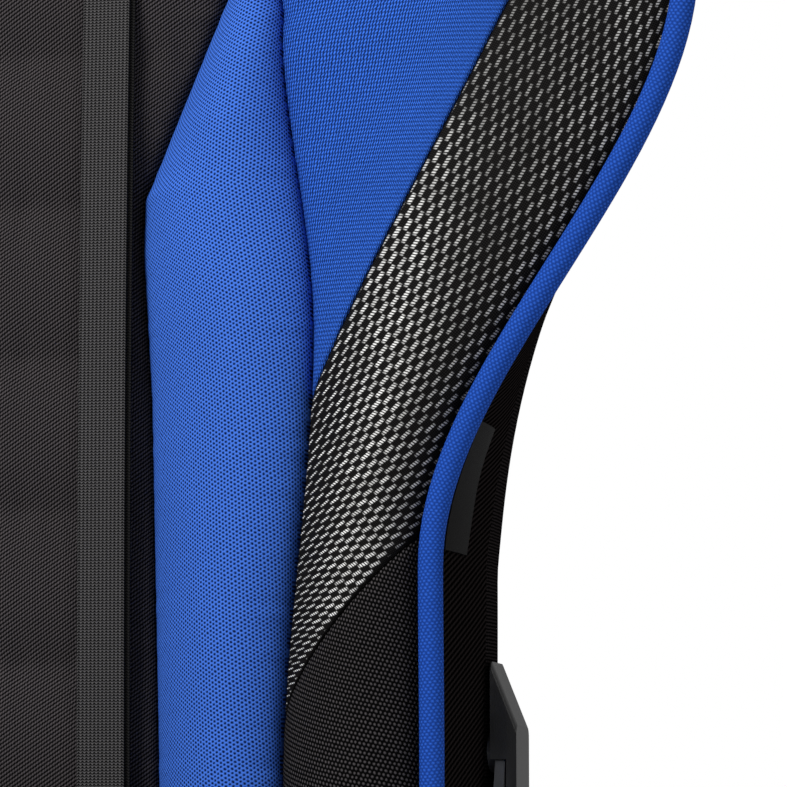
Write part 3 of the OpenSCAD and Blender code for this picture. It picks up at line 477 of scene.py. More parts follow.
# Each surface below draws its colour and height inside a node group, from the inputs listed in SURFACES.
def lattice(g, given):
    """Knit or plain weave: spots on a lattice of two waves, given by pitch and angle, and of their sum.

    The three cosines add to round spots where their crests meet: raised loops, or with Holes at 1 dark pores
    between the yarns. Fibre noise breaks up the regular spots.
    """
    vector, holes, balance = given["Vector"], given["Holes"], given["Balance"]
    x, y = g.wobbled(vector, 0.35, 0.9, -0.7)
    a, b = (g.turned(x, y, given["Angle " + k]) / given["Pitch " + k] for k in "AB")
    total = g.wave(a) * balance + g.wave(b) * (2.0 - balance) + g.wave(a + b) * 0.8
    total = g.fuzzed(total, vector, 2.6, 2.2)
    yarn = g.math("POWER", g.ranged(total, -1.6, 2.0, 1.0, 0.0), 1.25)
    loop = yarn * holes + g.ranged(total, given["Floor"], 2.3) * (1.0 - holes)
    return g.mix(loop, given["Dark"], given["Light"]), loop


def twill(g, given):
    """Twill: slanted ribs of that pitch and angle, each cut into short yarns by finer cross lines."""
    vector, pitch = given["Vector"], given["Pitch"]
    x, y = g.wobbled(vector, 0.3, 1.2, 0.8)
    total = g.wave(g.turned(x, y, given["Angle"]) / pitch) + g.wave(x / (pitch * 0.8)) * 0.5
    ridge = g.ranged(g.fuzzed(total, vector, 2.8, 3.0), -0.6, 2.1)
    return g.mix(ridge, given["Dark"], given["Light"]), ridge


def dashes(g, given):
    """Jacquard mesh: bright dashes in brick order on a dark net, each made of short slanted yarns."""
    along, across = g.wobbled(given["Vector"], 0.22, 0.9, -0.5)
    row = across / given["Row Pitch"]
    number = g.math("FLOOR", row)
    within = row - number - 0.5
    phase = along / given["Repeat"] + g.math("MODULO", abs(number), 2.0) * 0.5
    cell = g.math("FLOOR", phase)
    u = phase - cell - 0.5
    dash = (1.0 - g.step(abs(u), 0.19, 0.3)) * (1.0 - g.step(abs(within) / given["Width"], 0.2, 0.46))
    dash *= g.step(g.wave((within * 0.09 + u) * YARNS_PER_REPEAT), -0.9, 0.5)
    spot = g.node("CombineXYZ", cell, number, 0.0).outputs[0]
    chance = g.node("TexWhiteNoise", spot, noise_dimensions="2D").outputs["Value"]
    # Dimming darks the dashes with the painted shade and highlight band that the material feeds in
    dash *= g.ranged(chance, 0.0, 1.0, 0.6, 1.0) * (1.0 - given["Dimming"])
    net = abs(g.math("SINE", along * 4.2)) * abs(g.math("SINE", across * 4.6))
    return g.mix(dash, g.mix(net, given["Dark"], given["Net"]), given["Bright"]), net * 0.25 + dash


def elastic(g, given):
    """Woven elastic: lengthwise ribs with herringbone yarns between, and beyond its edges the second layer's
    strip darkened as painted shadow.
    """
    vector = given["Vector"]
    x, y, _ = g.split(vector)
    ribs = x / given["Pitch"]
    yarn = g.wave((abs(g.math("FRACT", ribs) - 0.5) * 1.16 + y) / 1.17)
    ridge = g.ranged(g.fuzzed(yarn * 1.1 + g.wave(ribs) * 0.65, vector, 2.4, 2.8), -0.8, 2.5)
    # Painted shadow: cloth farther than 9.65 mm from the strap's middle, the second layer's strip, is
    # darkened by up to 85%.
    tone = ridge * (1.0 - g.step(abs(x), 9.65, 9.95) * 0.85)
    return g.mix(tone, given["Dark"], given["Light"]), ridge


def grain(g, given):
    """Moulded or coated surface: fine pits of that scale, with cloudy tone and paler worn edges."""
    cloud = g.noise(given["Vector"], 30.0, 3.0, 0.6)
    corner = g.step(g.node("NewGeometry").outputs["Pointiness"], 0.52, 0.6)
    tone = g.mix(cloud * 0.09, given["Base"], BLACK)
    color = g.mix(corner * given["Wear"] * g.step(cloud, 0.35, 0.6), tone, given["Worn"])
    return color, cloud * 0.3 + g.cells(given["Vector"], given["Scale"])


def foam(g, given):
    """Open-cell foam: small rounded cells with darker pores."""
    depth = g.step(g.cells(given["Vector"], 700.0), 0.1, 0.7)
    return g.mix(depth, given["Light"], given["Dark"]), 1.0 - depth


YARNS_PER_REPEAT = 8
SURFACES = {
    "Loop lattice": (lattice, ("Dark", "Light"), {
        "Pitch A": 1.4, "Angle A": 65.0, "Pitch B": 1.4, "Angle B": -55.0, "Holes": 0.0, "Floor": -1.5,
        "Balance": 1.0}),
    "Twill ribs": (twill, ("Dark", "Light"), {"Pitch": 1.37, "Angle": -56.0}),
    "Dash mesh": (dashes, ("Dark", "Net", "Bright"), {
        "Row Pitch": 2.04, "Repeat": 8.5, "Dimming": 0.0, "Width": 1.0}),
    "Ribbed elastic": (elastic, ("Dark", "Light"), {"Pitch": 1.54}),
    "Surface grain": (grain, ("Base", "Worn"), {"Scale": 900.0, "Wear": 0.3}),
    "Foam cells": (foam, ("Dark", "Light"), {}),
}


def surface_tree(name):
    """The node group of a surface, made once."""
    tree = bpy.data.node_groups.get(name)
    if tree:
        return tree
    draw, colors, numbers = SURFACES[name]
    tree = bpy.data.node_groups.new(name, "ShaderNodeTree")
    kinds = {"Vector": "Vector", **dict.fromkeys(colors, "Color"), **dict.fromkeys(numbers, "Float")}
    for label, kind in kinds.items():
        socket = tree.interface.new_socket(label, in_out="INPUT", socket_type="NodeSocket" + kind)
        if label in numbers:
            socket.default_value = numbers[label]
    for label, kind in (("Color", "Color"), ("Height", "Float")):
        tree.interface.new_socket(label, in_out="OUTPUT", socket_type="NodeSocket" + kind)
    g = Graph(tree)
    given = {socket.name: Value(g, socket) for socket in tree.nodes.new("NodeGroupInput").outputs}
    for socket, value in zip(tree.nodes.new("NodeGroupOutput").inputs, draw(g, given)):
        g.put(socket, value)
    return tree


def finish(name, kind, values, roughness, bump, distance, metallic=0.0, coat=0.0, gloss=0.5, shade=0.0,
           objects=False):
    """Material: one surface group into the shader's colour and bump. Weaves read their own UVs, the rest
    object coordinates. shade darkens the cloth in slow patches by at most that share."""
    material = bpy.data.materials.new(DRESSED + name)
    material.use_nodes = True
    g = Graph(material.node_tree)
    place = g.place() if objects else g.uv("weave")
    surface = g.node("Group", named={"Vector": place, **values}, node_tree=surface_tree(kind))
    color = surface.outputs["Color"]
    if shade:
        color = g.mix(g.noise(g.place(), 14.0, 3.0, 0.55) * shade, color, BLACK)
    given = {"Strength": bump, "Distance": distance, "Height": surface.outputs["Height"]}
    relief = g.node("Bump", named=given)
    shader = material.node_tree.nodes["Principled BSDF"]
    for label, value in {"Base Color": color, "Normal": relief.outputs[0], "Roughness": roughness,
                         "Metallic": metallic, "Coat Weight": coat, "Specular IOR Level": gloss}.items():
        g.put(shader.inputs[label], value)
    return material


def woven(name, dark, light, kind="Loop lattice", roughness=0.9, bump=0.5, gloss=0.06, shade=0.25,
          **measures):
    """Cloth finish from two yarn colours and the weave's own measures."""
    values = {"Dark": dark, "Light": light, **{key.replace("_", " "): v for key, v in measures.items()}}
    return finish(name, kind, values, roughness, bump, WEAVE_RELIEF, gloss=gloss, shade=shade)


def dressing():
    """The sizes and colours of the panel."""
    return bpy.context.scene.seat_dressing


def net_finish(name):
    """Dash mesh. Its dashes are fullest and brightest along a slanting band of painted highlight, where the
    knit is also stretched; thinner before it, and thinner and dimmed to grey by painted shade beyond it.
    """
    values = {"Dark": srgb(1, 1, 1), "Net": srgb(32, 30, 29), "Bright": srgb(254, 253, 249)}
    material = finish(name, "Dash mesh", values, 0.7, 0.4, WEAVE_RELIEF, gloss=0.06)
    g = Graph(material.node_tree)
    from_band, t, _ = g.split(g.uv("panel"))
    beyond = g.step(from_band, 0.05, 0.42)
    # Painted shade on the threads beyond the band, eased a little towards the side panel; the band keeps full
    # light as a painted highlight.
    light = beyond * -0.65 + 1.0 + beyond * g.step(t, 0.7, 1.0) * 0.25
    # the dashes fade out within 1 to 2 mm of the seams
    light *= g.step(g.split(g.uv("seam"))[0], 1.0, 2.0)
    surface = next(n for n in material.node_tree.nodes if n.type == "GROUP")
    g.put(surface.inputs["Dimming"], 1.0 - light)
    # dashes narrower before and beyond the band, partly for the knit's stretch and partly as painted shade
    g.put(surface.inputs["Width"], g.step(from_band, -0.45, 0.0) * 0.48 + 0.55 - beyond * 0.3)
    return material


def bind_edge(material):
    """Draws a cross-ribbed binding tape along the rear edge of the gusset's cloth."""
    g = Graph(material.node_tree)
    given = {"Vector": g.uv("weave"), "Dark": srgb(5, 5, 5), "Light": srgb(50, 45, 46), "Pitch": 1.4,
             "Angle": 90.0}
    tape = g.node("Group", named=given, node_tree=surface_tree("Twill ribs"))
    where = g.step(g.split(g.uv("panel"))[0], TAPE_FROM, TAPE_FROM + 0.01)
    color = material.node_tree.nodes["Principled BSDF"].inputs["Base Color"]
    g.put(color, g.mix(where, color.links[0].from_socket, tape.outputs["Color"]))


# Base and worn colour, pits per metre, wear, roughness, bump, metallic and coat
GRAINED = {
    "frame_coat": ((30, 31, 33), (120, 120, 122), 1500.0, 0.4, 0.42, 0.25),
    "hinge_steel": ((54, 56, 60), (170, 172, 176), 1800.0, 0.5, 0.36, 0.15, 0.8),
    "zinc": ((176, 178, 176), (220, 221, 222), 2600.0, 0.4, 0.3, 0.1, 1.0),
    "black_screw": ((22, 22, 23), (110, 110, 112), 2600.0, 0.4, 0.35, 0.1, 0.7),
    "hinge_plastic": ((20, 20, 21), (70, 70, 72), 2200.0, 0.35, 0.4, 0.25, 0.0, 0.1),
    "trim_plastic": ((20, 21, 22), (80, 81, 84), 2200.0, 0.3, 0.45, 0.25),
    "grip_rubber": ((17, 17, 18), (60, 60, 62), 1100.0, 0.2, 0.75, 0.5),
}
CALM_RED, CALM_GREEN = 0.68, 0.88


def cloths():
    """Dark and light yarn and the measures of each woven finish. The main yarns come from the panel."""
    s = dressing()
    blue, deep, black, grey = (tuple(color) for color in (s.blue, s.blue_shadow, s.black, s.black_yarn))
    calm = (blue[0] * CALM_RED, blue[1] * CALM_GREEN, blue[2], 1.0)
    twilled, ribbed = "Twill ribs", "Ribbed elastic"
    return {
        "bolster_knit": (deep, blue, dict(
            Pitch_A=1.46, Angle_A=63.0, Pitch_B=1.52, Angle_B=-57.0, Holes=1.0)),
        "wing_knit": (deep, calm, dict(
            Pitch_A=1.44, Angle_A=-29.0, Pitch_B=1.69, Angle_B=-92.0, Balance=1.35)),
        "welt_knit": (srgb(8, 36, 108), srgb(54, 112, 230), dict(
            Pitch_A=1.64, Angle_A=-57.0, Pitch_B=1.56, Angle_B=44.0, Holes=0.2)),
        "lower_weave": (srgb(1, 1, 1), srgb(86, 82, 83), dict(
            Pitch_A=1.95, Angle_A=-33.0, Pitch_B=1.69, Angle_B=80.0, Floor=-0.3)),
        "centre_twill": (black, grey, dict(kind=twilled, Pitch=1.41, Angle=-56.0)),
        "gusset_twill": (BLACK, srgb(50, 45, 45), dict(kind=twilled, Pitch=2.4, Angle=-66.0, gloss=0.0)),
        "woven_tab": (srgb(4, 4, 5), srgb(26, 25, 26), dict(
            kind=twilled, Pitch=0.7, Angle=0.0, roughness=0.6, bump=0.2)),
        "elastic": (srgb(3, 3, 3), srgb(114, 112, 112), dict(kind=ribbed, Pitch=1.655, shade=0.1)),
        "webbing": (srgb(20, 20, 21), srgb(62, 62, 64), dict(kind=ribbed, Pitch=2.6)),
    }


def make_finish(name):
    if name == "mesh_dash":
        return net_finish(name)
    if name == "foam":
        values = {"Dark": srgb(150, 138, 96), "Light": srgb(232, 222, 176)}
        return finish(name, "Foam cells", values, 0.95, 0.5, FOAM_RELIEF, objects=True)
    if name in GRAINED:
        base, worn, scale, wear, roughness, bump, *shine = GRAINED[name]
        values = {"Base": srgb(*base), "Worn": srgb(*worn), "Scale": scale, "Wear": wear}
        return finish(name, "Surface grain", values, roughness, bump, GRAIN_RELIEF, *shine, objects=True)
    dark, light, measures = cloths()[name]
    material = woven(name, dark, light, **measures)
    if name == "gusset_twill":
        bind_edge(material)
    return material


def finish_of(name):
    return bpy.data.materials.get(DRESSED + name) or make_finish(name)


# ---- backrest pads ----
def cloth_uv(points):
    """Weave coordinates in millimetres: distance along each row from its middle point, and height."""
    steps = np.linalg.norm(np.diff(points, axis=1), axis=-1)
    across = np.pad(np.cumsum(steps, axis=1), ((0, 0), (1, 0)))
    across -= across[:, [across.shape[1] // 2]]
    return stack(across, points[..., 2])


def centre_pad():
    """Channelled pad. Each channel swells between two sewn lines and the cloth folds finely beside them."""
    v, u = span(560, 64)
    h = mix(BACK_START, CENTRE_TOP, v)
    half = seam_a(h) - SEAM_GAP
    x = u * half
    place = (h - BACK_START) / CHANNEL_PITCH
    swell = dressing().channel_swell * np.sqrt(hump(place % 1) ** 2 + 0.03)
    line = np.abs(place - np.round(place)) * CHANNEL_PITCH
    edge = half * (1 - np.abs(u))
    y = EDGE_Y - (7 + swell) * (1 - np.abs(u) ** 2.5) + 2.4 * away(edge, 1.6)
    y += puckers(x, line, 0.4, 17.0, 12.0) + puckers(h, edge, 0.3)
    pad("centre_cover", "centre_pad", "centre_fabric", "centre_twill", stack(x, y, h))


def bolster(side, label):
    """Side bolster between its two seams, drawn in at both and tapering out at the shoulder."""
    v, t = grid(340, 50)
    h = mix(BACK_START, MERGE_H, v)
    width = seam_b(h) - seam_a(h) - 2 * SEAM_GAP
    x = seam_a(h) + SEAM_GAP + width * t
    y = mix(EDGE_Y, y_valley(h), t) - dressing().bolster_crown * hump(t) ** 0.9 * np.minimum(1, width / 55)
    from_a, from_b = width * t, width * (1 - t)
    drawn_in = 3.0 * away(from_a, 1.8) + 3.0 * away(from_b, 1.8)
    y += np.minimum(1, width / 20) * (drawn_in + puckers(h, from_a, 0.3) + puckers(h + 5, from_b, 0.3))
    pad(f"bolster_cover_{label}", f"bolster_{label}", "blue_knit", "bolster_knit", stack(x, y, h), side=side)


def wing_piece(side, name, node, slot, finish_name, low, high, rows, uv_of):
    """One sewn piece of the wing between a lower and an upper edge, drawn in at all its seams."""
    v, t = grid(rows, 64)
    h = mix(low(t[0]), high(t[0]), v)
    x = wing_x(h, t)
    y = mix(y_valley(h), y_edge(h) + 3, t) - dressing().wing_crown * hump(t)
    width = x[:, -1:] - x[:, :1]
    seam = np.minimum(h - h[:1], h[-1:] - h) * 0.85
    y += 3.0 * away(width * t, 1.8) + 1.6 * away(seam, 1.4) + 2.0 * away(width * (1 - t), 2.5)
    y += puckers(h, width * t, 0.25) + puckers(x, seam, 0.2, 11.0, 7.0)
    front = stack(x, y, h)
    out = mix(seam_b(h) + WING_GAP, inner_x(h, y_mid(side_half(h))), t)
    rear = stack(out, y_mid(out) - LAY_GAP, h)
    piece = pad(name, node, slot, finish_name, front, rear, uv_of(front), side)
    # panel layer: each column's distance from the dash mesh's band of painted highlight, and the column
    # itself
    add_layer(piece, "panel", *handed(side, stack(t - linear(h, DASH_HIGHLIGHT_BAND_KNOTS), t)))
    add_layer(piece, "seam", *handed(side, stack(seam, width * t)))


FAN_X, FAN_Y, FAN_H = 181.0, -45.0, 228.5
FAN_TURN = np.radians([34.0, 0.305, -0.0009])
FAN_STRETCH = 0.0007


def fan_uv(points):
    """Mesh coordinates whose rows fan out: the integral of exp(-i * turn(q) - stretch * q) from the fan's
    origin, where q is height plus a sideways part, so the map keeps angles and its rows climb more steeply
    with height, as the cloth was pulled round the shoulder. Eight Gauss points along the way are enough.
    """
    x, y, h = np.moveaxis(points, -1, 0)
    z = 0.978 * (x - FAN_X) + 0.208 * (y - FAN_Y) + 1j * (h - FAN_H)
    w = 0
    for at, weight in zip(*np.polynomial.legendre.leggauss(8)):
        q = -0.5j * (at + 1) * z
        turn = FAN_TURN[0] + FAN_TURN[1] * q + FAN_TURN[2] * q * q
        w = w + 0.5 * weight * np.exp(-1j * turn - FAN_STRETCH * q)
    return stack((w * z).real, (w * z).imag)


def wings(side, label):
    """Shoulder, net and foot of a wing, parted by the diagonal and the lower seam."""
    wing_piece(side, f"wing_shoulder_{label}", f"wing_blue_{label}", "blue_knit", "wing_knit",
               lambda t: diagonal_at(t) + SEAM_GAP, lambda t: 0 * t + WING_TOP, 240, cloth_uv)
    wing_piece(side, f"wing_net_{label}", f"wing_mesh_{label}", "mesh_fabric", "mesh_dash",
               lambda t: lower_at(t) + SEAM_GAP, lambda t: diagonal_at(t) - SEAM_GAP, 210, fan_uv)
    wing_piece(side, f"wing_foot_{label}", f"wing_lower_{label}", "plain_fabric", "lower_weave",
               lambda t: 0 * t + BACK_START, lambda t: lower_at(t) - SEAM_GAP, 150, cloth_uv)


def side_panel(side, label):
    """Padded side wall from the welt to the rear panel, flaring as the outline does, its rear edge bound."""
    x, h, nx, nh = (a[:, None] for a in outline())
    k = np.linspace(0, 1, 40)[None, :]
    f = eased(h, FLARE_KNOTS)
    front, rear = y_edge(h) + 3, y_rear(x + f * nx)
    y = mix(front, rear, k)
    swell = 1.2 * hump(k) * np.minimum(1, np.maximum(0, h - 140) / 60)
    tape = 0.7 * ease((k - TAPE_FROM) / 0.02)
    outer, inner = (stack(np.maximum(x + shift * nx, MIDLINE_GAP), y, h + shift * nh)
                    for shift in (f * k + swell + tape, f * k - SIDE_T))
    uv = stack(y, np.cumsum(np.hypot(np.gradient(x, axis=0), np.gradient(h, axis=0)), axis=0))
    piece = pad(f"gusset_{label}", f"side_panel_{label}", "plain_fabric", "gusset_twill", outer, inner, uv,
                side)
    add_layer(piece, "panel", *handed(side, stack(np.broadcast_to(k, y.shape), y)))


def welt():
    """Piping round the front edge of the backrest, over the top in one piece."""
    x, h, nx, nh = outline()
    half = np.stack([x - nx, y_edge(h) - 2.4, h - nh], axis=-1)
    half = half[half[:, 0] > 0]
    path = np.concatenate([half, half[::-1] * (-1, 1, 1)])
    make_piece("back_welt", "back_piping", "blue_welt", "welt_knit", *tube(path, dressing().welt_radius))


def head_and_neck():
    """Head cover up to the top of the outline, and the neck cover between the two harness openings."""
    v, u = span(160, 120)
    front_in, rear_in = SIDE_T + 0.5, SIDE_T + 2.6
    up = 1 - (1 - v) ** 1.6
    h, low = (mix(WING_TOP + 0.6, BACK_TOP - inset - 0.3, up) for inset in (front_in, rear_in))

    def width(h, inset):
        return np.where(h <= HEAD_H, side_half(h) - inset * slant(h), head_width(h, inset))

    edge = width(h, front_in) * (1 - np.abs(u))
    seam = h - h[:1]
    y = y_edge(h) + 3 - 14 * (1 - u * u) * unit(hump(v)) ** 0.4
    y += 2.0 * away(edge, 2.5) + 2.0 * away(seam, 1.8) + puckers(u * 150, seam, 0.3)
    pad("head_cover", "head_pad", "centre_fabric", "centre_twill", stack(u * width(h, front_in), y, h),
        flat_rear(u * width(low, rear_in), low))
    v, u = span(64, 60)
    half = SLOT_IN - BEZEL_WALL - 3
    h = mix(CENTRE_TOP + 0.6, WING_TOP, v)
    edge = np.minimum(half * (1 - np.abs(u)), np.minimum(h - h[0, 0], h[-1, 0] - h))
    y = EDGE_Y - 6 * (1 - u * u) * (1 - 0.4 * hump(v)) - 14 * v * v + 2.0 * away(edge, 1.8)
    pad("neck_cover", "neck_pad", "centre_fabric", "centre_twill", stack(u * half, y, h))


# ---- straps, tab and lumbar cushion ----
STRAP_X, STRAP_W, STRAP_T = 58.0, 20.0, 1.6
STRAP_FRONT, STRAP_REAR = EDGE_Y - 12.4, BACK_DEPTH + PANEL_T + 2.4
STRAP_LOW, STRAP_HIGH, BUCKLE_H = BACK_START - 1.6, SLOT_LOW + 3, 330.0
STRAP_CORNER, STRAP_BOW_H = 2.5, (40, 580)
SECOND_FROM, SECOND_TO, SECOND_BACK, SECOND_T = 67.6, 70.0, 1.3, 1.0
TAB_LOW, TAB_HIGH, TAB_FRONT, TAB_REAR, TAB_T = 212.0, 262.0, 0.06, 0.4, 1.0


def loop_path():
    """Closed path round the pads in y, h from the buckle down, its outward normals and its distances."""
    low = np.array([STRAP_FRONT, STRAP_LOW]) + STRAP_CORNER
    high = np.array([STRAP_REAR, STRAP_HIGH]) - STRAP_CORNER
    corners = [(high[0], low[1], 0), (low[0], low[1], -90), (low[0], high[1], 180), (high[0], high[1], 90)]
    points, normals = [(STRAP_REAR, BUCKLE_H)], [(1.0, 0.0)]
    for y, h, start in corners:
        for a in np.radians(np.linspace(start, start - 90, 8)):
            normals.append((math.cos(a), math.sin(a)))
            points.append((y + STRAP_CORNER * math.cos(a), h + STRAP_CORNER * math.sin(a)))
    points.append((STRAP_REAR, BUCKLE_H + 0.2))
    normals.append((1.0, 0.0))
    length = along(np.array(points))
    s = np.union1d(np.linspace(0, length[-1], 500), length)
    path, normal = (np.stack([np.interp(s, length, part) for part in zip(*rows)], axis=1)
                    for rows in (points, normals))
    return path, normal, s


def strap(side, label):
    """Elastic loop round the backrest, with the edge of its second layer just behind on the outer side."""
    path, normal, s = loop_path()
    skins, uvs = [], []
    for left, right, back, thick in ((STRAP_X - STRAP_W / 2, STRAP_X + STRAP_W / 2, 0.0, STRAP_T),
                                     (SECOND_FROM, SECOND_TO, SECOND_BACK, SECOND_T)):
        x = np.linspace(left, right, 9)[None, :]
        outer, inner = (path - depth * normal for depth in (back, back + thick))
        low, high = STRAP_BOW_H
        bow = -dressing().strap_bow * hump(unit((outer[:, 1:] - low) / (high - low))) * (outer[:, :1] < 0)
        front, rear = (stack(x + bow, line[:, :1], line[:, 1:]) for line in (outer, inner))
        uv = stack(x - STRAP_X, s[:, None])
        front, rear, uv = handed(side, front[:, ::-1], rear[:, ::-1], uv[:, ::-1])
        skins.append((front, rear))
        uvs += [uv.reshape(-1, 2)] * 2
    points, faces = joined(skins)
    make_piece(f"strap_band_{label}", f"strap_{label}", "elastic", "elastic", points, faces,
               np.concatenate(uvs))


def side_tab():
    """Bare woven tab sewn on the left side panel, its free edge lifted a little."""
    v, k = grid(60, 30)
    h, t = mix(TAB_LOW, TAB_HIGH, v), mix(TAB_FRONT, TAB_REAR, k)
    y = mix(y_edge(h) + 3, y_rear(side_half(h)), t)
    x = side_half(h) + eased(h, FLARE_KNOTS) * t + 2.0 + 0.5 * hump(k) + 0.3 * np.sin(7 * v) * k
    points, faces = closed_skin(stack(x, y, h), stack(x - TAB_T, y, h))
    uv = stack(y, h)
    make_piece("tab_cover", "side_label", "woven_tab", "woven_tab", points, faces, np.concatenate([uv, uv]))


def lumbar():
    """Lumbar cushion on the straps: crowned, drawn in at its rim, hollow behind where it wraps the pad."""
    v, u = span(110, 150)
    low, high, half_width, flat_half = 18.0, 112.0, 118.0, 68.0
    rim = np.sqrt(unit(hump(v)))
    x = u * (half_width - 7 * (1 - rim))
    h = mix(low, high, v)
    behind = mix(EDGE_Y - 12.8, -66.0, unit((np.abs(x) - flat_half) / (half_width - flat_half)))
    edge = np.minimum(np.minimum(h - low, high - h), half_width - np.abs(x))
    y = behind - 8 - 44 * rim * np.maximum(0, 1 - u * u) ** 0.45 + puckers(x + h, edge, 0.5, 19.0, 12.0)
    pad("lumbar_cover", "lumbar_cushion", "centre_fabric", "centre_twill", stack(x, y, h),
        stack(x, behind - 3 * (1 - rim), h), body="lumbar_cushion", fill=0.7)


# ---- seat base covers ----
def seat_width(s):
    """Half width of the seat at s from its rear end, widening to SEAT_HALF, with round front corners."""
    wide = eased(s, ((150, SEAT_REAR_HALF), (290, SEAT_HALF)))
    c = s - (SEAT_LENGTH - FRONT_CORNER)
    round_part = SEAT_HALF - FRONT_CORNER + np.sqrt(np.maximum(0, FRONT_CORNER**2 - np.maximum(0, c) ** 2))
    return np.where(c <= 0, wide, round_part)


def seat_outline(inset=0.0):
    """The +x half of the seat's plan as x, y from rear to front, moved inwards by inset."""
    s = np.linspace(inset, SEAT_LENGTH - FRONT_CORNER, 70, endpoint=False)
    a = np.linspace(0, math.pi / 2, 30)
    r = FRONT_CORNER - inset
    x = np.concatenate([seat_width(s) - inset, SEAT_HALF - FRONT_CORNER + r * np.cos(a)])
    s = np.concatenate([s, SEAT_LENGTH - FRONT_CORNER + r * np.sin(a)])
    return x, SEAT_REAR - s


def seat_centre():
    """Centre pad of the seat, with channels across it, rounded down at the front."""
    v, u = span(380, 64)
    s = mix(SEAT_INSET, SEAT_LENGTH - SEAT_INSET, v)
    channel = v * SEAT_CHANNELS
    line = np.abs(channel - np.round(channel)) * SEAT_LENGTH / SEAT_CHANNELS
    edge = SEAT_SEAM * (1 - np.abs(u))
    z = PAD_Z + 34 + 12 * ease(v) - 26 * np.maximum(0, (v - 0.86) / 0.14) ** 2
    z += 8 * np.sqrt(hump(channel % 1)) * (1 - np.abs(u) ** 3)
    z -= 2.4 * away(edge, 1.8) + 1.0 * away(line, 1.5) + puckers(u * SEAT_SEAM, line, 0.5, 19.0, 11.0)
    x = u * (SEAT_SEAM - SEAM_GAP)
    front, rear = (stack(x, SEAT_REAR - s, height)[::-1] for height in (z, PAD_Z))
    pad("seat_centre_cover", "seat_centre_pad", "centre_fabric", "centre_twill", front, rear,
        stack(x, -s)[::-1], body="seat_base")


def seat_bolster(side, label):
    """Side bolster of the seat, between the centre seam and the skirt, running out at the front."""
    v, t = grid(260, 60)
    inset = SEAT_INSET + 1.2
    s = mix(SEAT_INSET, SEAT_LENGTH - inset, v)
    c = np.maximum(0, s - (SEAT_LENGTH - FRONT_CORNER))
    round_part = SEAT_HALF - FRONT_CORNER + np.sqrt(np.maximum(0, (FRONT_CORNER - inset) ** 2 - c * c))
    outer = np.where(c > 0, round_part, seat_width(s) - inset)
    crown = mix(20.0, 62.0, ease(s / 130)) - 34 * unit((s - SEAT_LENGTH + 110) / 110) ** 2
    x = mix(SEAT_SEAM + SEAM_GAP, outer, t)
    width = outer - SEAT_SEAM
    drawn_in = 3.0 * away(width * t, 1.8) + 2.0 * away(width * (1 - t), 2.0) + puckers(s, width * t, 0.4)
    swell = 0.78 * crown * unit(hump(t)) ** 0.7 - drawn_in
    z = PAD_Z + mix(32.0, 25.0, t) + ease((width - 8) / 90) * swell
    front, rear = (stack(x, SEAT_REAR - s, height)[::-1] for height in (z, PAD_Z))
    pad(f"seat_bolster_cover_{label}", f"seat_bolster_{label}", "blue_knit", "bolster_knit", front, rear,
        stack(cloth_uv(front)[..., 0], -s[::-1]), side, "seat_base")


def seat_sides():
    """Skirt and piping round the seat, each as one closed run."""
    ring, inner = (np.concatenate([np.stack([x, y], 1), np.stack([-x, y], 1)[::-1]])
                   for x, y in (seat_outline(), seat_outline(SKIRT_T)))
    z = np.linspace(FOAM_Z - 0.2, SKIRT_HIGH, 30)
    swell = 1.5 * hump((z - z[0]) / (z[-1] - z[0]))
    outward = normed(np.stack([-np.gradient(ring[:, 1]), np.gradient(ring[:, 0])], 1))
    face = ring[:, None] + swell[None, :, None] * outward[:, None]
    front = stack(face[..., 0], face[..., 1], z[None, :])
    rear = stack(inner[:, None, 0], inner[:, None, 1], z[None, :])
    uv = stack(along(ring)[:, None], z[None, :])
    pad("skirt_cover", "seat_skirt", "plain_fabric", "gusset_twill", front[:, ::-1], rear[:, ::-1],
        uv[:, ::-1], body="seat_base")
    path = np.concatenate([ring, np.full((len(ring), 1), SKIRT_HIGH + 5.4)], axis=1)
    make_piece("seat_welt", "seat_piping", "blue_welt", "welt_knit", *tube(path, dressing().welt_radius),
               body="seat_base")


# ---- inner layers ----
def foam_core():
    """Foam sheet under the covers, open at the two harness slots."""
    v, c = grid(110, 44)
    wall = BEZEL_WALL + 0.4
    bottom, top = SLOT_LOW - wall, SLOT_HIGH + wall

    def sheet(low, high, inner, outer):
        h = mix(low, high, v)
        x = mix(inner(h), outer(h), c)
        return stack(x, y_mid(x), h), stack(x, y_mid(x) + CORE_T, h)

    def edge(h):
        return np.where(h > HEAD_H, head_width(h, SIDE_T + 6), side_half(h) - (SIDE_T + 6) * slant(h) - 12)

    def other_edge(h):
        return -edge(h)

    beside = sheet(bottom, top, lambda h: 0 * h + SLOT_OUT + wall, edge)
    points, faces = joined([
        sheet(BACK_START + 1, bottom, other_edge, edge),
        sheet(top, BACK_TOP - 14, other_edge, edge),
        sheet(bottom, top, lambda h: 0 * h - SLOT_IN + wall, lambda h: 0 * h + SLOT_IN - wall),
        beside,
        handed(-1, *beside),
    ])
    make_piece("back_foam_core", "back_core", "foam", "foam", points, faces, points[:, [0, 2]], fill=1.0)


def seat_foam():
    x, y = seat_outline(SKIRT_T + LAY_GAP)
    v = np.linspace(0, 1, 40)[None, :]
    plan_x = mix(-x[:, None], x[:, None], v)
    front, rear = (stack(plan_x, y[:, None], z)[::-1] for z in (FOAM_Z + FOAM_H, FOAM_Z))
    points, faces = closed_skin(front, rear)
    make_piece("seat_foam_base", "seat_foam", "foam", "foam", points, faces, points[:, :2], "seat_base", 1.0)


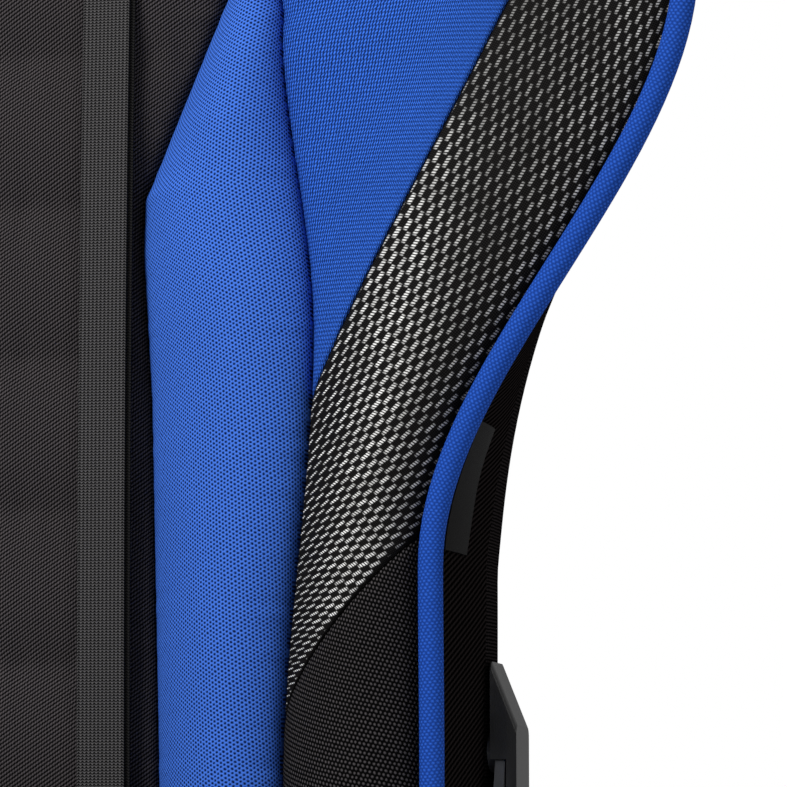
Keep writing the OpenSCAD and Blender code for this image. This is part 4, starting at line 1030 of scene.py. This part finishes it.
def webbing():
    """Bands of webbing across the backrest frame and the seat frame."""
    v, c = grid(24, 40)
    x = mix(-184, 184, c)
    bands = []
    for start in np.linspace(70.0, 520.0, 6):
        h = start + BACK_BAND_W * v
        bands.append((stack(x, BAND_FRONT, h), stack(x, BAND_FRONT + BAND_T, h)))
    points, faces = joined(bands)
    make_piece("back_bands", "back_webbing", "webbing", "webbing", points, faces, points[:, [2, 0]])
    low, high = (np.array(corner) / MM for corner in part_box("seat_webbing"))
    v, c = grid(12, 60)
    x = mix(low[0], high[0], c)
    bands = []
    for start in np.linspace(low[1], high[1] - SEAT_BAND_W, 6):
        y = start + SEAT_BAND_W * v
        bands.append((stack(x, y, high[2]), stack(x, y, low[2])))
    points, faces = joined(bands)
    make_piece("seat_bands", "seat_webbing", "webbing", "webbing", points, faces, points[:, [1, 0]],
               "seat_base")


# ---- carried-over CAD nodes ----
HARDWARE = {
    "frame_coat": ("base_rail_left", "base_rail_right", "seat_frame", "back_frame", "head_frame"),
    "hinge_steel": ("hinge_bracket_left", "hinge_bracket_right", "back_arm_left", "back_arm_right"),
    "zinc": ("rail_bolts", "bracket_bolts", "pivot_bolts", "arm_bolts", "lever_shaft", "lever_spring"),
    "black_screw": ("cover_screws_lower", "cover_screws_upper", "panel_screws"),
    "hinge_plastic": ("hinge_cover_lower_left", "hinge_cover_lower_right", "hinge_cover_upper_left",
                      "hinge_cover_upper_right", "lever_arm"),
    "trim_plastic": ("harness_bezel_left", "harness_bezel_right", "strap_buckles", "back_panel"),
    "grip_rubber": ("lever_grip",),
}


def hardware():
    for finish_name, nodes in HARDWARE.items():
        for node in nodes:
            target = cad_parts[node]
            if not target.material_slots:
                target.data.materials.append(None)
            for slot in target.material_slots:
                slot.material = finish_of(finish_name)


# ---- stage ----
AIM = (181.0, -40.0, 276.0)
AZIMUTH, ELEVATION, ROLL = math.radians(12), math.radians(1), math.radians(1.66)
DISTANCE, LENS, SENSOR = 1.5, 171.54, 36.0
FLOOR_R = 2.0  # ends below the camera's view


def camera():
    """Camera in front of the left wing, aimed at a point of the backrest."""
    data = bpy.data.cameras.new("camera")
    data.lens, data.sensor_width, data.sensor_fit = LENS, SENSOR, "HORIZONTAL"
    data.clip_start, data.clip_end = 0.1, 50
    turn = (Matrix.Rotation(AZIMUTH, 4, "Z") @ Matrix.Rotation(math.pi / 2 - ELEVATION, 4, "X")
            @ Matrix.Rotation(-ROLL, 4, "Z"))
    target = Matrix.Translation(leaned(np.array(AIM)).tolist())
    made = add_object("camera", data)
    made.matrix_world = target @ turn @ Matrix.Translation((0, 0, DISTANCE))
    bpy.context.scene.camera = made


def area_lamp(name, place, target, size, power):
    data = bpy.data.lights.new(name, "AREA")
    data.shape, data.size, data.energy = "DISK", size, power
    made = add_object(name, data)
    made.location = place
    made.rotation_euler = (Vector(target) - Vector(place)).to_track_quat("-Z", "Y").to_euler()


def stage():
    """Camera, a world that is white to the camera and a weaker fill to the rest, two lamps and the floor."""
    s = dressing()
    camera()
    world = bpy.data.worlds.new("studio")
    world.use_nodes = True
    bpy.context.scene.world = world
    g = Graph(world.node_tree)
    world.node_tree.nodes.clear()
    path = g.node("LightPath").outputs
    seen = g.math("MAXIMUM", path["Is Camera Ray"], path["Is Transmission Ray"])
    fill, white = (g.node("Background", (1, 1, 1, 1), power).outputs[0] for power in (s.fill_light, 1.0))
    g.node("OutputWorld", g.node("MixShader", seen, fill, white).outputs[0])
    bpy.context.scene.view_settings.view_transform = "Standard"
    area_lamp("key", (-0.9, -1.4, 2.2), (0.1, 0.15, 0.4), 1.2, s.key_light)
    area_lamp("side", (1.9, -0.9, 1.5), (0.2, 0.2, 0.5), 1.0, s.side_light)
    mesh = bpy.data.meshes.new("floor")
    turns = np.linspace(0, 2 * math.pi, 64, endpoint=False)
    rim = [(FLOOR_R * math.cos(a), FLOOR_R * math.sin(a), 0) for a in turns]
    mesh.from_pydata(rim, [], [tuple(range(len(rim)))])
    floor = add_object("floor", mesh)
    paint = bpy.data.materials.new("floor_paint")
    paint.use_nodes = True
    g = Graph(paint.node_tree)
    cloud = g.noise(g.place(), 1.2)
    shader = paint.node_tree.nodes["Principled BSDF"]
    g.put(shader.inputs["Base Color"], g.mix(cloud, srgb(232, 232, 232), srgb(238, 238, 238)))
    shader.inputs["Roughness"].default_value = 0.9
    mesh.materials.append(paint)


# ---- add-on ----
ANY_COLOR = {"subtype": "COLOR", "size": 4, "min": 0, "max": 1}


class SeatDressingSettings(bpy.types.PropertyGroup):
    blue: bpy.props.FloatVectorProperty(
        name="Blue", description="Yarn of the blue cloth", default=srgb(80, 137, 255), **ANY_COLOR)
    blue_shadow: bpy.props.FloatVectorProperty(
        name="Blue shadow", description="Between the loops of the blue cloth", default=srgb(5, 22, 66),
        **ANY_COLOR)
    black: bpy.props.FloatVectorProperty(
        name="Black", description="Ground of the black cloth", default=srgb(3, 3, 3), **ANY_COLOR)
    black_yarn: bpy.props.FloatVectorProperty(
        name="Black yarn", description="Raised yarn of the black cloth", default=srgb(108, 102, 104),
        **ANY_COLOR)
    bolster_crown: bpy.props.FloatProperty(
        name="Bolster crown", description="Height of the side bolsters' crown in millimetres", default=22,
        min=14, max=26)
    wing_crown: bpy.props.FloatProperty(
        name="Wing crown", description="Height of the wings' crown in millimetres", default=16, min=8, max=20)
    channel_swell: bpy.props.FloatProperty(
        name="Channel swell", description="How far a channel swells between its sewn lines, in millimetres",
        default=5, min=2, max=8)
    welt_radius: bpy.props.FloatProperty(
        name="Welt radius", description="Radius of the piping in millimetres", default=5, min=3.5, max=5.5)
    strap_bow: bpy.props.FloatProperty(
        name="Strap bow", description="How far the straps bow inwards at mid height, in millimetres",
        default=1.9, min=0, max=4)
    key_light: bpy.props.FloatProperty(
        name="Key light", description="Main lamp", default=64, min=0, unit="POWER")
    side_light: bpy.props.FloatProperty(
        name="Side light", description="Lamp on the occupant's left", default=6, min=0, unit="POWER")
    fill_light: bpy.props.FloatProperty(
        name="Fill light", description="Strength of the world", default=0.33, min=0)


class SEAT_OT_stage(bpy.types.Operator):
    """Camera, lamps, pale floor and white surroundings"""

    bl_idname = "seat.stage"
    bl_label = "Stage"

    def execute(self, context):
        stage()
        return {"FINISHED"}


class SEAT_OT_back_pads(bpy.types.Operator):
    """Centre, bolster, wing, head and neck covers of the backrest"""

    bl_idname = "seat.back_pads"
    bl_label = "Backrest pads"

    def execute(self, context):
        centre_pad()
        head_and_neck()
        for side, label in SIDES:
            bolster(side, label)
            wings(side, label)
        return {"FINISHED"}


class SEAT_OT_back_edges(bpy.types.Operator):
    """Side panels, welt and tab of the backrest"""

    bl_idname = "seat.back_edges"
    bl_label = "Backrest edges"

    def execute(self, context):
        for side, label in SIDES:
            side_panel(side, label)
        welt()
        side_tab()
        return {"FINISHED"}


class SEAT_OT_straps(bpy.types.Operator):
    """Elastic straps and the lumbar cushion on them"""

    bl_idname = "seat.straps"
    bl_label = "Straps and lumbar cushion"

    def execute(self, context):
        strap(1, "left")
        strap(-1, "right")
        lumbar()
        return {"FINISHED"}


class SEAT_OT_seat_covers(bpy.types.Operator):
    """Covers, skirt and piping of the seat base"""

    bl_idname = "seat.seat_covers"
    bl_label = "Seat covers"

    def execute(self, context):
        seat_centre()
        for side, label in SIDES:
            seat_bolster(side, label)
        seat_sides()
        return {"FINISHED"}


class SEAT_OT_inner_layers(bpy.types.Operator):
    """Foam and webbing under the covers"""

    bl_idname = "seat.inner_layers"
    bl_label = "Foam and webbing"

    def execute(self, context):
        foam_core()
        seat_foam()
        webbing()
        return {"FINISHED"}


class SEAT_OT_hardware(bpy.types.Operator):
    """Finishes of the frame, hinges, bolts and trim"""

    bl_idname = "seat.hardware"
    bl_label = "Hardware finishes"

    def execute(self, context):
        hardware()
        return {"FINISHED"}


OPERATORS = (SEAT_OT_stage, SEAT_OT_back_pads, SEAT_OT_back_edges, SEAT_OT_straps, SEAT_OT_seat_covers,
             SEAT_OT_inner_layers, SEAT_OT_hardware)


class SEAT_PT_dressing(bpy.types.Panel):
    bl_label = "Seat dressing"
    bl_idname = "SEAT_PT_dressing"
    bl_space_type = "VIEW_3D"
    bl_region_type = "UI"
    bl_category = "Seat"

    def draw(self, context):
        for key in SeatDressingSettings.__annotations__:
            self.layout.prop(context.scene.seat_dressing, key)
        for operator in OPERATORS:
            self.layout.operator(operator.bl_idname)


CLASSES = (SeatDressingSettings, *OPERATORS, SEAT_PT_dressing)


def register():
    for cls in CLASSES:
        bpy.utils.register_class(cls)
    bpy.types.Scene.seat_dressing = bpy.props.PointerProperty(type=SeatDressingSettings)


def unregister():
    del bpy.types.Scene.seat_dressing
    for cls in reversed(CLASSES):
        bpy.utils.unregister_class(cls)


def main():
    register()
    bpy.ops.seat.stage()
    bpy.ops.seat.back_pads()
    bpy.ops.seat.back_edges()
    bpy.ops.seat.straps()
    bpy.ops.seat.seat_covers()
    bpy.ops.seat.inner_layers()
    bpy.ops.seat.hardware()


if __name__ == "__main__":
    main()
